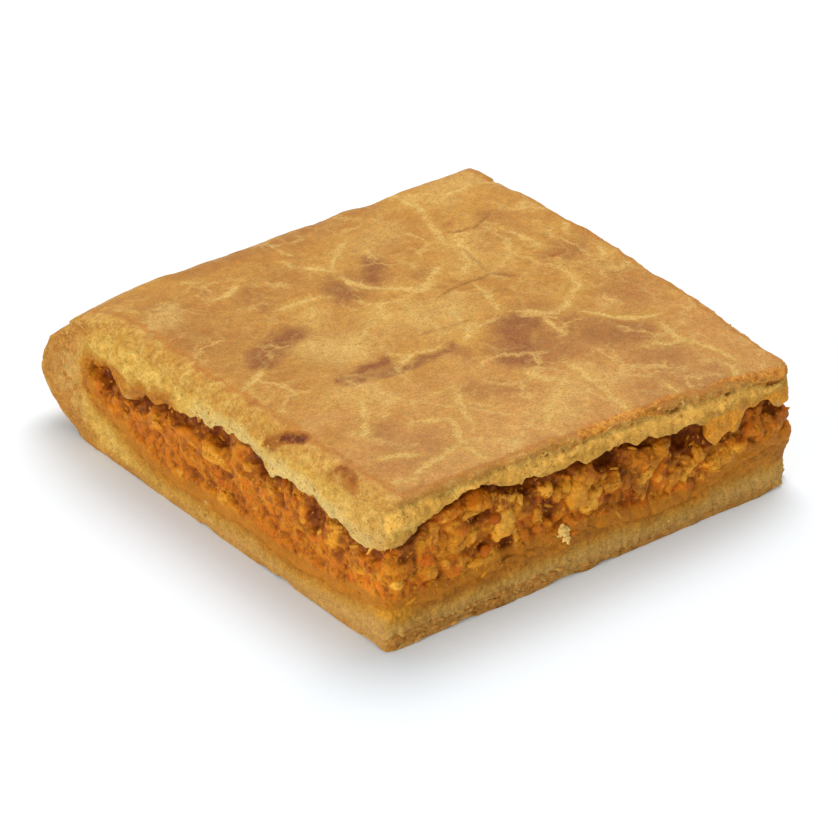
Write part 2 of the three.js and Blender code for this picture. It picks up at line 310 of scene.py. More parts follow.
crustLook = {
    "voxel": 0.72,  # face size, halved on the cuts
    "soften": 22,  # rounds of smoothing on the skin
    "rimEndSoften": 5,  # the same at the rim's left end
    "rimEnd": (-40, 51, 1),  # which lies left of, behind and above these
    "lidEdgeSoften": 7,  # rounds on the lid beside the filling
    "swell": 0.34,  # slow unevenness of the skin
    "wrinkle": 0.05,  # fine unevenness of the skin
    "veinDepth": 0.12,
    "crackDepth": 0.3,
    "crackBank": 0.16,  # how far the skin stands up beside a crack
    "burnDepth": 0.35,
    "crumb": 0.34,  # coarse unevenness of the cut dough
    "fineCrumb": 0.17,
    "pore": 0.6,  # depth of the pores in the cut dough
    "leaf": 0.14,  # height of the thin leaves in the cut dough
    "leafThick": 0.95,
    "granule": 0.24,  # height of the small granules in the torn crumb
    "sunken": 0.12,  # how far the cut dough lies back
    "roundLeft": 1.5,  # how far the edges of each cut are crumbled away
    "roundFront": 0.5,
    "ridge": 0.4,  # how far the baked skin stands out over the front and right cuts
    "rightEdge": 0.3,  # how strong ridge, pockets and band are on the right cut, as a share
    "pocket": 0.6,  # depth of the pockets under it
    "creamBand": 0.2,  # how far the pale band under them stands out
    "footLeaf": 0.55,  # how far the leaves at the foot stand out
    "footLeafThick": 1.05,
    "wavyFoot": 0.7,  # how far the foot rises off the table in places
    "corner": 4.5,  # radius of the lid's right front corner
    "footCorner": 3.2,  # radius of the base's left front corner
    "footCornerRight": 1.9,  # how many times that on the right
    "beside": 0.6,  # how far the base sinks in beside the filling
    "besideWide": 3.0,
    "fold": 0.9,  # depth of the fold at the rim's left end
}

# thin stretched lines in the skin, paler than the rest
paleVeins = [
    [(-47, -44), (-40, -45), (-33, -42), (-25, -40), (-23, -38)],
    [(-38, -28), (-32, -20), (-29, -14)],
    [(-28, -28), (-21, -31), (-24, -40), (-25, -47)],
    [(-19, -36), (-15, -28), (-11, -22)],
    [(-1, -38), (3, -35), (8, -31)],
    [(3, -25), (6, -32)],
    [(11, -42), (11, -36), (12, -30), (11, -27)],
    [(14, -4), (20, -7), (23, -10), (27, -9), (30, -6), (34, -4), (35, 0), (36, 5), (37, 7)],
    [(27, -12), (30, -16), (35, -20), (41, -22)],
    [(14, -3), (16, 3), (17, 8)],
    [(-15, -8), (-9, -6), (-4, -7)],
    [(1, -9), (6, -4)],
    [(-1, 31), (5, 37), (9, 40)],
    [(-1, 30), (-7, 36), (-8, 39)],
    [(-2, 30), (-2, 24), (0, 20), (5, 16), (8, 13)],
    [(-20, 25), (-13, 24), (-8, 22)],
    [(8, 13), (13, 16), (18, 20)],
    [(17, 12), (23, 17), (25, 22)],
    [(28, 50), (30, 42), (25, 30), (24, 24)],
    [(35, 43), (45, 44)],
    [(37, 24), (38, 12)],
    [(45, 13), (48, 17), (50, 19)],
    [(46, 2), (48, 6)],
    [(38, -24), (37, -30), (40, -34)],
    [(-28, 47), (-25, 43)],
    [(-40, -35), (-34, -39)],
    [(28.5, 30), (26, 24), (25, 19), (23, 13)],
    [(1, 18.5), (5, 16), (7, 13), (12, 13)],
    [(-20, 37.5), (-24, 36), (-28, 35.5)],
    [(20, -9), (19, -14), (19, -17)],
    [(36, -49), (38, -46), (40, -44)],
    [(22, -44), (22, -49)],
    [(-13, -28), (-10, -31)],
    [(-4, -38), (-1, -41), (0, -45)],
    [(27, -30), (33, -32), (37, -31.5), (40, -34), (41, -40), (41, -44)],
    [(-1, 15), (-5, 11), (-6, 7)],
    [(-37, 6), (-43, 2), (-46, 1)],
    [(10, -41), (10, -47)],
    [(-8, -45), (-4, -41), (1, -36)],
]

# narrow dark creases: the line, and how strong it is
creases = [
    ([(26, 31), (30, 29), (33, 28), (38, 30), (40, 31)], 1.0),
    ([(25.5, 24), (25, 20), (24, 15), (23, 12), (22, 10)], 0.7),
    ([(6, 7), (9, 8.5), (13, 9.2), (20, 9), (23, 10), (25, 7), (29, 4)], 0.9),
    ([(22, 11), (25, 6)], 0.5),
    ([(-6, -1), (2, -2), (8, -3)], 0.55),
    ([(12, 4), (19, 2.5), (23, 1)], 0.55),
    ([(-30, -10), (-22, -11), (-12, -10.5), (-4, -11)], 0.4),
    ([(-45, 9), (-38, 12)], 0.25),
    ([(-36, -17), (-27, -18), (-17, -17)], 0.25),
    ([(30, -32), (36, -33), (40, -32)], 0.4),
    ([(-46, -47), (-41, -48), (-38, -46)], 0.5),
    ([(-39, 38), (-34, 39)], 0.5),
]

# toasted places: a line along the middle, the half width, and how dark
toastedPlaces = [
    ([(-35, 9), (-30, 12.5), (-23, 16)], 3.3, 0.85),
    ([(-5, 21.5), (-3, 24)], 4.6, 0.75),
    ([(1, 21), (6, 26), (8, 28)], 2.6, 0.8),
    ([(-20, 27), (-20, 34)], 3.2, 0.3),
    ([(-10, 28), (-12, 34)], 5.0, 0.22),
    ([(-28, -6.2), (-16, -6.3)], 1.5, 0.95),
    ([(-27, -9.3), (-12, -9.6), (-2, -9)], 1.4, 0.8),
    ([(-2, -13), (-4, -9)], 2.5, 0.4),
    ([(6, -20), (9, -14), (13, -10), (19, -8.5)], 4.4, 0.8),
    ([(14, -20), (22, -16)], 7.5, 0.5),
    ([(24, -22), (30, -24)], 6.5, 0.55),
    ([(27, -40), (29, -35)], 7.0, 0.4),
    ([(20, -45), (34, -46)], 6.0, 0.32),
    ([(-8, -24), (-4, -27)], 4.0, 0.38),
    ([(-35, -30), (-33, -25)], 3.2, 0.35),
    ([(-30, -37), (-36, -38)], 5.5, 0.28),
    ([(38, 8), (43, 8)], 4.0, 0.45),
    ([(36, 22), (38, 26)], 5.0, 0.25),
    ([(40, -10), (44, -4)], 6.0, 0.25),
    ([(10, 17), (13, 18)], 3.0, 0.35),
    ([(-42, 28), (-36, 20), (-40, 36)], 7.0, 0.16),
    ([(-25, 49), (20, 50)], 4.0, 0.25),
    ([(37, 31), (39, 30)], 1.6, 0.4),
]

# lighter, yellower places
palePlaces = [
    ([(-21.5, 6.9), (-19, 4)], 6.5, 0.9),
    ([(-6, 7.2), (0, 4), (6, 3)], 6.0, 0.6),
    ([(10, 35), (16, 38)], 5.0, 0.5),
    ([(-31, -12), (-27, -16)], 3.5, 0.5),
    ([(-45.6, 32), (-41, 34), (-37, 37)], 3.2, 0.9),
    ([(27.5, 23.5), (22, 14)], 5.0, 0.4),
    ([(43, 47.5), (36, 44)], 5.0, 0.6),
    ([(-2, -42), (3, -37), (7, -33)], 4.0, 0.5),
    ([(14, -38), (13, -30)], 3.0, 0.5),
    ([(-16, 18), (-17, 10)], 4.0, 0.4),
    ([(-30, -45), (-18, -46)], 4.0, 0.3),
]

# nearly black spots: a line along the middle, the half width, and how dark
burntSpots = [
    ([(-46.3, -19.0), (-48.0, -16.0)], 1.9, 1.0),
    ([(-48.6, -15.4), (-50.2, -13.0)], 1.9, 0.5),
    ([(-48.2, -37.6), (-47.6, -35.6), (-48.0, -32.4)], 1.5, 0.62),
    ([(37.2, 8.4), (39, 8.8)], 0.9, 0.5),
    ([(-46.5, -2.4), (-45, -2.4)], 1.0, 0.35),
]

# brown marks on the left cut: place along it, height, half width, half height and strength
sideMarks = [(-37.5, 30.6, 3.4, 1.1, 1.0), (-32, 30.4, 2.5, 0.8, 0.8), (-15, 29.4, 2.6, 1.0, 0.7),
             (-42, 29.0, 2.4, 0.6, 0.4), (0, 29.0, 3.0, 0.6, 0.35), (27, 28.6, 3.5, 0.6, 0.4),
             (15, 28.0, 2.5, 0.5, 0.3), (52.5, 17.0, 1.8, 1.3, 0.5), (56, 13.0, 1.6, 1.4, 0.7),
             (58.5, 17.5, 2.0, 2.0, 0.6), (60, 11.0, 1.6, 1.4, 0.5), (54.5, 22.0, 1.4, 1.0, 0.6)]

# cavity lip along the left cut where the dough is soaked through, from front to rim
soakedLip = (13, 20, 41, 47)


def crustFields(mesh):
    # what the shape and the material go by, with a value for each vertex
    f = SimpleNamespace()
    points = f.points = readPoints(mesh)
    f.normals = readVectors(mesh, "normal")
    f.move = np.zeros(points.shape)
    f.x, f.y, f.z = points.T
    f.depth = farFrom(skinTree, points)
    f.toFilling = farFrom(fillingTree, points)
    f.cut, f.way = cutGap(points), outwards(points)
    f.left, f.front, f.right = leftGap(points), frontGap(points), rightGap(points)
    nearCut = f.cut < 7
    f.under = np.full(len(points), 20.0)
    f.under[nearCut] = depthUnderTop(points[nearCut])
    f.crumb = ramp(0.35, 0.95, f.depth + 0.25 * clouds(points, 1.2, seed=3))
    f.top = ramp(0.5, 0.85, f.normals[:, 2]) * ramp(20, 24, f.z) * (1 - f.crumb)
    f.facesFront = ramp(1.5, -0.5, np.minimum(f.front, f.right) - f.left)
    f.lid = f.z > lidFoot
    f.atRim = ramp(rimLine - 3, rimLine + 4, f.y)
    f.loose = 0.5 * clouds(points, 2.2, 3, 18)
    f.finer = np.stack([clouds(points, 1.8, 2, 13), clouds(points, 1.8, 2, 14)], -1) * 0.45
    f.warp = np.stack([clouds(points, 7, 2, 11), clouds(points, 7, 2, 12)], -1) * 1.1 + f.finer
    return f


def findSkinPlaces(f):
    # how far the veins and creases are, and how toasted, pale or burnt the skin is
    fromAbove = f.points[:, :2]
    small = f.warp * 0.45 + f.finer * 0.6
    f.vein = np.full(len(f.points), 8.0)
    for line in paleVeins:
        f.vein = np.minimum(f.vein, awayFromLine(fromAbove + small, line, 0.45))
    f.crease = np.full(len(f.points), 6.0)
    f.creaseStrength = np.zeros(len(f.points))
    for line, strength in creases:
        away = awayFromLine(fromAbove + small * 0.6, line, 0.3)
        f.creaseStrength = np.where(away < f.crease, strength, f.creaseStrength)
        f.crease = np.minimum(f.crease, away)
    f.toast = strengthAt(fromAbove + f.warp, toastedPlaces)
    f.pale = strengthAt(fromAbove + f.warp, palePlaces)
    f.burn = strengthAt(fromAbove + f.warp * 0.4, burntSpots, 1.3) * ramp(26, 28, f.z)


def liftSkin(f):
    # slow swells, fine wrinkles, sunken veins and creases
    look = crustLook
    lift = look["swell"] * clouds(f.points, 13, 3, 1) + look["wrinkle"] * clouds(f.points, 1.7, 3, 2)
    lift -= look["veinDepth"] * ramp(1.1, 0.1, f.vein) * f.top
    lift -= look["crackDepth"] * ramp(0.75, 0.05, f.crease) * f.creaseStrength * f.top
    bank = look["crackBank"] * ramp(1.8, 0.9, f.crease) * ramp(0.5, 0.9, f.crease)
    lift += bank * f.creaseStrength * f.top
    lift -= look["burnDepth"] * f.burn * ramp(0.3, 0.8, f.burn) * f.top
    grounded = ramp(0.0, 1.6, f.z)
    f.move += f.normals * (lift * (1 - f.crumb) * grounded)[:, None]


def tearCrumb(f):
    # cut dough: torn crumb with pores, and thin leaves near the baked sides
    look = crustLook
    seen = f.crumb * ramp(4.2, 2.6, f.cut) * (1 - 0.6 * f.lid * ramp(2.2, 0.6, f.toFilling))
    torn = np.nonzero(seen > 0.02)[0]
    here = f.points[torn]
    # the dough is closer and smoother in the base and on the front cut
    openness = (1 - (0.6 * ~f.lid + 0.2 * f.facesFront * f.lid) * (1 - f.atRim))[torn]
    rough = look["crumb"] * openness * clouds(here, 2.4, 3, 4) + look["fineCrumb"] * clouds(here, 0.9, 2, 5)
    rough -= look["pore"] * ramp(0.4, 1.0, openness) * pits(here, 2.3, 0.42, 0.42, 6)
    rough -= look["pore"] * 0.5 * openness * pits(here, 1.15, 0.4, 0.5, 7)
    waved = here[:, 2] + 0.5 * clouds(here, 6, 2, 8)
    leaves = np.abs(waved / look["leafThick"] % 1 - 0.5) * 2 - 0.5
    toSkin = ramp(3.2, 0.6, f.depth[torn])
    rough += look["leaf"] * 2 * leaves * toSkin * ramp(-0.6, 0.5, clouds(here, 5, 2, 9))
    granule = grains(here, 1.25, 27)[0] - 0.5
    rough += look["granule"] * granule * ramp(-0.4, 0.5, clouds(here, 6, 2, 28))
    rough -= look["sunken"]
    f.move[torn] += f.normals[torn] * (rough * seen[torn])[:, None]


def crumbleEdges(f):
    # the upper edge of the lid is crumbled away along the cuts
    look = crustLook
    wander = 1 + 0.45 * clouds(f.points, 5, 3, 10)
    for gap, size, reach, way in ((f.left, look["roundLeft"], 4.2, (0.6, 0, -0.75)),
                                  (f.front, look["roundFront"], 2.0, (0, 0.5, -0.8)),
                                  (f.right, look["roundFront"], 2.0, (-0.5, 0, -0.8))):
        edge = np.clip(1 - f.under / reach, 0, 1) ** 2
        along = size * wander * np.clip(1 - gap / reach, 0, 1) ** 2 * edge
        f.move += along[:, None] * np.array(way)


def roundCorners(f):
    # the lid is rounded at the front corner on the right, the base a little at both front corners
    look = crustLook
    f.rounded = np.zeros(len(f.points))
    footRight = look["footCorner"] * look["footCornerRight"]
    for gap, way, radius, where in ((f.right, -1, look["corner"], ramp(19, 23, f.z)),
                                    (f.right, -1, footRight, ramp(12, 5, f.z)),
                                    (f.left, 1, look["footCorner"], ramp(9, 6, f.z))):
        inside = np.stack([radius - gap, radius - f.front], -1)
        over = np.clip(np.hypot(*inside.T) - radius, 0, None) * (inside > 0).all(axis=1) * where
        inside /= np.maximum(np.hypot(*inside.T), 1e-9)[:, None]
        f.move[:, 0] += way * over * inside[:, 0]
        f.move[:, 1] += over * inside[:, 1]
        f.rounded = np.maximum(f.rounded, over)


def reachKnife(f):
    # edges that the first faces rounded off go back out to the knife's plane and the table
    look = crustLook
    crisp = np.where(f.lid & (f.y < rimLine), ramp(3.4, 1.6, f.toFilling), 1.0) * ramp(1.7, 0.8, f.cut)
    f.move += f.way * (np.clip(f.cut, 0, 1.0) * crisp * (f.rounded == 0))[:, None]
    # the dough of the base sinks in beside the filling, which runs on over it
    beside = ramp(look["besideWide"], 0.8, f.toFilling) * ramp(2.0, 1.0, f.cut) * (~f.lid | (f.y > rimLine))
    f.move -= f.way * (look["beside"] * beside)[:, None]
    atFloor = ramp(1.6, 0.7, f.z) * ramp(3.0, 1.5, f.cut)
    f.move[:, 2] -= np.clip(f.z, 0, 1.0) * atFloor
    wavy = ramp(-0.2, 0.9, clouds(f.points, 8, 2, 36))
    f.move[:, 2] += look["wavyFoot"] * wavy * atFloor * ramp(1.6, 0.6, f.cut)


def foldRimEnd(f):
    # a fold runs along the rim's left end
    line = np.abs(f.y - 56 - 0.1 * f.left + 0.6 * f.warp[:, 0])
    fold = ramp(1.7, 0.2, line) * ramp(14, 3, f.left) * (f.z > 18)
    f.move -= f.normals * (crustLook["fold"] * fold)[:, None]


def raiseSkinEdge(f):
    # over the front and right cuts the baked skin stands out as a thin ridge, with pockets under it
    look = crustLook
    f.ragged = np.where(f.right < f.front, look["rightEdge"], 1.0)
    atEdge = f.facesFront * ramp(1.7, 0.6, f.cut) * f.ragged
    flake = ramp(-0.3, 0.5, clouds(f.points, 3.0, 3, 15, (1.6, 1.6, 1)))
    f.pocket = ramp(0.1, 0.5, clouds(f.points, 2.6, 3, 24, (2.2, 2.2, 0.6))) * ramp(-24, -12, f.x)
    level = f.level = f.under + 0.35 * clouds(f.points, 6, 2, 25)
    ridge = ramp(1.5, 0.9, level) * ramp(0.0, 0.4, level)
    f.behind = ramp(0.9, 1.3, level) * ramp(2.8, 2.0, level)
    f.cream = ramp(1.8, 2.5, level) * ramp(6.5, 4.6, level)
    out = look["ridge"] * ridge * flake - look["pocket"] * f.behind * (0.05 + f.pocket)
    out += look["creamBand"] * f.cream
    f.move += f.way * (out * atEdge * f.lid)[:, None]


def leafFoot(f):
    # brown leaves at the foot of the base, most of them at the left of the front cut
    layer = (f.z + 0.3 * clouds(f.points, 6, 2, 16, (1.5, 1.5, 1))) / crustLook["footLeafThick"]
    f.inLayer = layer % 1
    rise = (2.4 + 1.3 * clouds(f.points, 9, 3, 34, (1, 1, 3))) * ramp(-4, -24, f.x)
    f.leafHigh = 1.3 + rise * f.facesFront
    leafy = ramp(-0.5, 0.4, clouds(f.points, 7, 3, 17)) * (0.25 + 0.75 * f.facesFront)
    atFoot = ramp(f.leafHigh + 0.6, f.leafHigh - 0.4, f.z) * ramp(1.5, 0.5, f.cut)
    f.move += f.way * (crustLook["footLeaf"] * (f.inLayer - 0.25) * atFoot * leafy)[:, None]


def ragLid(f):
    # the lower edge of the lid is ragged
    ragged = ramp(3.4, 1.0, f.toFilling) * ramp(3.0, 1.5, f.cut) * f.lid * (f.y < rimLine)
    f.move[:, 2] += (0.85 * clouds(f.points, 3.6, 2, 19) - 0.5) * ragged


def paintSkin(mesh, f):
    paint(mesh, "crumb", f.crumb)
    paint(mesh, "depth", np.minimum(f.depth, 8))
    paint(mesh, "vein", np.where(f.top > 0.3, f.vein, 8))
    paint(mesh, "crease", np.where(f.top > 0.3, f.crease, 6))
    paint(mesh, "creaseStrength", f.creaseStrength)
    paint(mesh, "toast", f.toast * f.top)
    paint(mesh, "pale", f.pale * f.top)
    paint(mesh, "dusty", f.top * ramp(0, -35, f.y + 10 * f.warp[:, 0]))
    paint(mesh, "burn", f.burn)
    atLeft = ramp(6.0, 1.5, f.left + 1.6 * f.loose)
    frayed = np.maximum(atLeft, 0.45 * ramp(2.2, 0.6, np.minimum(f.front, f.right) + f.loose))
    paint(mesh, "fray", frayed * ramp(20, 24, f.z))


def paintSoaked(mesh, f):
    # where the filling has soaked the dough
    near = f.toFilling + f.loose
    start, full, lessFull, end = soakedLip
    band = (ramp(start, full, f.y) * ramp(end, lessFull, f.y)) * ramp(8, 2, f.left)
    bandFront = (0.6 + 0.4 * ramp(20, 30, f.x)) * ramp(8, 2, f.front)
    inLid = ramp(4.6, 1.6, near) * np.maximum(np.maximum(band, 0.6 * bandFront), 0.12)
    hanging = ramp(24.0, 22.0, f.z + f.loose) * ramp(25, 28, f.x) * f.facesFront * f.lid
    inLid = np.maximum(inLid, 0.85 * hanging)
    inBase = np.maximum(ramp(6.5, 0.2, near), f.facesFront * ramp(2.6, 8.5, f.z + f.loose))
    soak = np.where(f.lid, inLid, inBase) * (1 - f.atRim) + ramp(5.5, 1.6, near) * f.atRim
    paint(mesh, "soak", soak * f.crumb)
    paint(mesh, "wetLid", soak * f.lid * f.facesFront)
    # painted shade deep in the hollow that the filling leaves, and the soaked colour at the corner under it
    paint(mesh, "inside", ramp(0.9, 2.0, f.cut) * ramp(2.6, 1.2, f.toFilling))
    toCorner = np.hypot(f.left, f.front)
    paint(mesh, "corner", ramp(9, 2, toCorner + f.loose) * ramp(2.5, 6, f.z) * ~f.lid)


def paintCuts(mesh, f, moved):
    # browned, pale and torn places on the cut dough
    mark = np.zeros(len(moved))
    for along, high, wide, tall, strength in sideMarks:
        away = np.hypot((f.y + 0.4 * f.warp[:, 0] - along) / wide, (f.z + 0.3 * f.warp[:, 1] - high) / tall)
        mark = np.maximum(mark, strength * ramp(1.4, 0.2, away) * ramp(5, 2, f.left))
    # the foot is browner right above the table
    paint(mesh, "mark", np.maximum(mark, 0.75 * ramp(1.5, 0.5, f.z + 0.6 * f.loose) * ~f.lid * f.crumb))
    lip = ramp(4.8, 2.0, f.toFilling + f.loose) * ramp(14, 8, f.y) * ramp(5, 2, f.left)
    paint(mesh, "lip", lip * (1 - f.facesFront) * f.lid)
    onFront = f.facesFront * ramp(5, 3, f.cut)
    paint(mesh, "front", onFront)
    # the pockets under the ridge are painted dark, as shade
    paint(mesh, "pocket", onFront * f.behind * f.pocket * f.lid)
    paint(mesh, "cream", onFront * f.cream * f.lid)
    # torn brown skin along the upper edge of the front cut, most of it on the right
    tear = ramp(-0.35, 0.25, clouds(moved, 3.4, 3, 35, (2.4, 2.4, 0.7))) * ramp(-30, -8, f.x) * f.ragged
    paint(mesh, "tear", onFront * tear * ramp(2.0, 1.3, f.level) * ramp(3.2, 1.6, f.cut) * (f.z > 22))
    brownFoot = ramp(f.leafHigh + 0.9, f.leafHigh - 0.7, f.z + 0.5 * f.loose) * (0.7 + 0.3 * f.facesFront)
    paint(mesh, "foot", brownFoot * f.crumb * np.clip(1.15 - 0.8 * f.inLayer, 0, 1))
    rim = f.atRim * f.crumb * ramp(8.5, 1.0, f.depth + 1.2 * f.loose)
    rimEnd = ramp(rimLine + 3, rimLine + 8, f.y)
    mottled = 0.95 * ramp(-0.1, 0.4, clouds(moved, 1.9, 3, 33)) * rimEnd * f.crumb
    paint(mesh, "rim", np.maximum(rim, mottled))
    # the base is duller on the front cut and in its front half
    dull = np.where(f.facesFront > 0.5, 0.75, 0.9 * ramp(45, -20, f.y)) * ~f.lid * (1 - f.atRim)
    dull = np.maximum(dull, 0.35 * ramp(-28, -42, f.y) * f.lid * (1 - f.facesFront))
    paint(mesh, "shade", np.maximum(dull, 0.75 * rimEnd))


def shapeCrust(obj):
    mesh = obj.data
    fields = crustFields(mesh)
    findSkinPlaces(fields)
    for shape in (liftSkin, tearCrumb, crumbleEdges, roundCorners, reachKnife, foldRimEnd, raiseSkinEdge,
                  leafFoot, ragLid):
        shape(fields)
    moved = fields.points + fields.move
    moved[:, 2] = np.maximum(moved[:, 2], 0.0)
    writePoints(mesh, moved)
    smoothShade(mesh)
    paintSkin(mesh, fields)
    paintSoaked(mesh, fields)
    paintCuts(mesh, fields, moved)


def makeCrust():
    look = crustLook
    obj = evenCopy("crust", "crustBaked", look["voxel"])
    soften(obj, 2)
    points = readPoints(obj.data)
    endX, endY, endZ = look["rimEnd"]
    rimEnd = (points[:, 0] < endX) & (points[:, 1] > endY) & (points[:, 2] > endZ)
    soften(obj, look["rimEndSoften"], rimEnd)
    points = readPoints(obj.data)
    inside = (farFrom(fillingTree, points) < 1.6) & (cutGap(points) > 5)
    thinHidden(obj, inside | ((points[:, 2] < 0.5) & (cutGap(points) > 4)), keep=0.06)
    points = readPoints(obj.data)
    soften(obj, look["soften"], (cutGap(points) > 1.5) & (points[:, 2] > 1))
    # half as large faces on the cuts
    points = readPoints(obj.data)
    inside = (farFrom(fillingTree, points) < 1.8) & (cutGap(points) > 1.8)
    refine(obj, ~inside & (cutGap(points) < 1.0) & (farFrom(skinTree, points) > 0.1))
    points = readPoints(obj.data)
    lidEdge = (points[:, 2] > lidFoot) & (points[:, 1] < rimLine + 4) & (cutGap(points) < 2.5)
    lidEdge[lidEdge] = farFrom(fillingTree, points[lidEdge]) < 1.7
    soften(obj, look["lidEdgeSoften"], lidEdge)
    shapeCrust(obj)
    soften(obj, 2, lidEdge)
    say(f"crust, {triangles(obj)} triangles")
    return obj


crust = makeCrust()

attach(crust, "root")
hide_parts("crust")

fillingLook = {
    "voxel": 1.2,  # first face size
    "fineVoxel": 0.78,
    "lump": 1.7,  # height of the large lumps
    "lumpWide": 6.0,
    "flake": 0.6,  # height of the flakes on them
    "flakeWide": 2.8,
    "granule": 0.2,
    "granuleWide": 1.7,
    "grain": 0.11,
    "grainWide": 0.8,
    "swelling": 0.5,  # how far its lighter places stand out and its darker ones lie back
    "feather": 0.6,  # how far its thin edge over the dough sinks in
    "baseLift": 0.12,  # how far it stands out beside the dough
    "inset": 0.7,  # how far the middle of the cut side stands back
    "underLid": 1.9,  # how far more it stands back under the lid
    "close": 0.6,  # how far it presses into the dough round it
    "runOn": 3.0,  # how far it runs on into the soaked dough at the cuts
    "endSwell": 1.8,  # how much thicker it is where it fills the closed end
}

# hollows in the cut filling: place along the cut, height, half width, half height, depth
frontHollows = [
    (-42.5, 24.0, 3.2, 1.8, 2.0), (-29, 26.8, 6.0, 1.6, 1.8), (-16, 24.0, 4.2, 2.6, 4.0),
    (-9, 21.5, 2.0, 2.0, 1.6), (4.0, 22.3, 3.4, 3.0, 4.4), (13, 22.3, 2.8, 2.0, 3.4),
    (23.5, 19.5, 3.6, 3.4, 4.6), (-36, 19.5, 1.6, 2.2, 1.2), (-27, 21.0, 2.6, 1.6, 2.0),
    (-27, 14.0, 2.6, 1.6, 1.8), (-20.5, 12.5, 1.8, 2.2, 2.0), (-10, 15.5, 1.2, 2.4, 1.8),
    (7.5, 17.5, 1.4, 2.6, 1.6), (-45, 18.5, 2.2, 1.6, 1.4), (0.5, 12.0, 2.2, 1.2, 1.2),
    (37, 17.5, 1.2, 3.0, 1.6), (16, 16.0, 1.5, 1.6, 1.0),
]
leftHollows = [
    (43.0, 17.0, 3.2, 3.0, 2.8), (35, 17.0, 3.6, 1.4, 1.4), (27, 19.2, 3.4, 1.4, 2.4),
    (18, 19.8, 4.2, 1.5, 2.6), (6, 21.5, 5.0, 1.8, 3.0), (-9.0, 22.0, 4.5, 2.2, 3.4),
    (-26, 18.5, 2.0, 3.4, 2.6), (-34, 20.5, 5.0, 1.3, 2.0), (-42, 18.5, 3.0, 1.2, 1.4),
    (-34.5, 14.5, 1.2, 2.0, 1.4), (-16, 17.0, 1.5, 2.4, 1.4), (-18, 10.0, 3.0, 1.0, 1.0),
    (-40, 10.0, 3.0, 0.9, 1.0), (-3, 11.0, 4.0, 0.9, 1.0), (11, 9.5, 3.5, 1.0, 1.1),
    (2, 13.0, 1.6, 1.0, 0.9), (37, 13.5, 2.0, 1.0, 1.0), (28, 3.8, 1.2, 0.8, 0.4),
]

# darker (below 0) and lighter places in the cut filling, the darker ones partly painted shade in its
# hollows and under the lid: place along the cut, height, half width, half height and how strong
frontShades = [
    (-43, 24.5, 4.0, 1.8, -0.8), (-30, 27.6, 7.0, 1.4, -0.6), (-18, 25, 4.5, 2.2, -1.0),
    (-28, 21.0, 3.2, 2.2, -0.8), (-28, 15.0, 4.2, 1.5, -0.6), (-21, 12.0, 2.4, 2.4, -0.8),
    (-15, 20.5, 3.0, 3.2, -0.7), (-10, 16.5, 1.7, 3.2, -0.8), (-5, 23.5, 5.0, 1.7, -0.7),
    (4, 22.3, 4.0, 3.2, -1.0), (8, 18.0, 2.2, 4.5, -0.65), (13, 22.5, 3.2, 2.4, -0.9),
    (23, 19.0, 4.5, 4.0, -1.0), (9, 12.0, 8.0, 2.0, -0.6), (37, 17.0, 2.0, 4.0, -0.6),
    (9.5, 15.5, 3.4, 3.0, -0.6),
    (44, 17.5, 6.0, 3.5, -0.35), (-45, 19.5, 3.0, 2.6, -0.5), (-38, 12.0, 3.0, 1.5, -0.4),
    (18, 15.0, 2.0, 1.5, -0.4), (27, 17.5, 1.5, 2.5, -0.5), (-13, 12.5, 3.0, 1.3, -0.4),
    (-33, 18.0, 4.0, 2.8, 0.5), (-27, 10.8, 6.0, 2.4, 0.8), (-40, 15.5, 3.0, 2.5, 0.4),
    (-22, 18.0, 3.0, 3.2, 0.7), (-4.5, 17.5, 3.5, 3.5, 0.8), (-12, 14.5, 2.5, 1.7, 0.4),
    (2.5, 16.0, 2.4, 2.0, 0.4), (15, 18.0, 3.0, 3.0, 0.35), (33, 11.5, 5.5, 2.4, 0.8),
    (28, 13.5, 2.5, 2.0, 0.4), (46, 12.0, 4.0, 2.5, 0.4), (-47, 13.5, 2.5, 2.0, 0.5),
    (-29, 23.3, 5.0, 1.2, 0.6),
]
leftShades = [
    (-42, 18.8, 3.0, 1.6, -0.6), (-36.5, 18.6, 3.0, 1.6, -0.7), (-34.5, 14.5, 1.6, 2.2, -0.7),
    (-31, 20.5, 2.2, 2.0, -0.5), (-26, 18.0, 2.2, 4.2, -1.0), (-22, 14.0, 1.2, 3.0, -0.5),
    (-15, 20.5, 2.5, 3.0, -0.6), (-10, 22.0, 3.2, 3.2, -1.0), (-5, 18.5, 3.6, 2.0, -0.6),
    (5, 21.5, 5.5, 2.2, -0.9), (13, 20.5, 4.5, 2.2, -0.8), (20, 19.8, 4.5, 1.8, -1.0),
    (27, 19.2, 4.0, 1.4, -0.7), (3, 14.2, 3.4, 1.0, -0.6), (8.5, 10.5, 1.5, 2.0, -0.6),
    (33, 18.0, 2.2, 1.6, -0.6), (37, 15.5, 2.2, 1.6, -0.7), (42.5, 17.5, 3.2, 3.0, -1.0),
    (-38, 10.2, 4.0, 1.1, -0.5), (-18, 10.5, 3.5, 1.2, -0.5), (-3, 10.6, 4.0, 1.2, -0.5),
    (12, 9.6, 3.2, 1.1, -0.5), (20, 14.4, 3.0, 1.2, -0.45), (30, 13.0, 2.5, 1.2, -0.4),
    (-33, 18.0, 2.8, 2.4, 0.7), (5, 17.0, 4.0, 1.8, 0.8), (-10, 13.5, 3.0, 2.0, 0.4),
    (1.5, 8.0, 4.0, 2.6, 0.7), (17, 7.0, 2.4, 2.0, 0.7), (25, 15.5, 4.0, 2.0, 0.5),
    (-45, 11.0, 4.0, 2.2, 0.5), (38, 9.0, 6.0, 2.2, 0.6), (-29, 12.0, 3.0, 2.0, 0.4),
    (39.5, 19.8, 1.6, 1.2, 0.8), (-48, 16.5, 2.5, 2.5, 0.4),
]


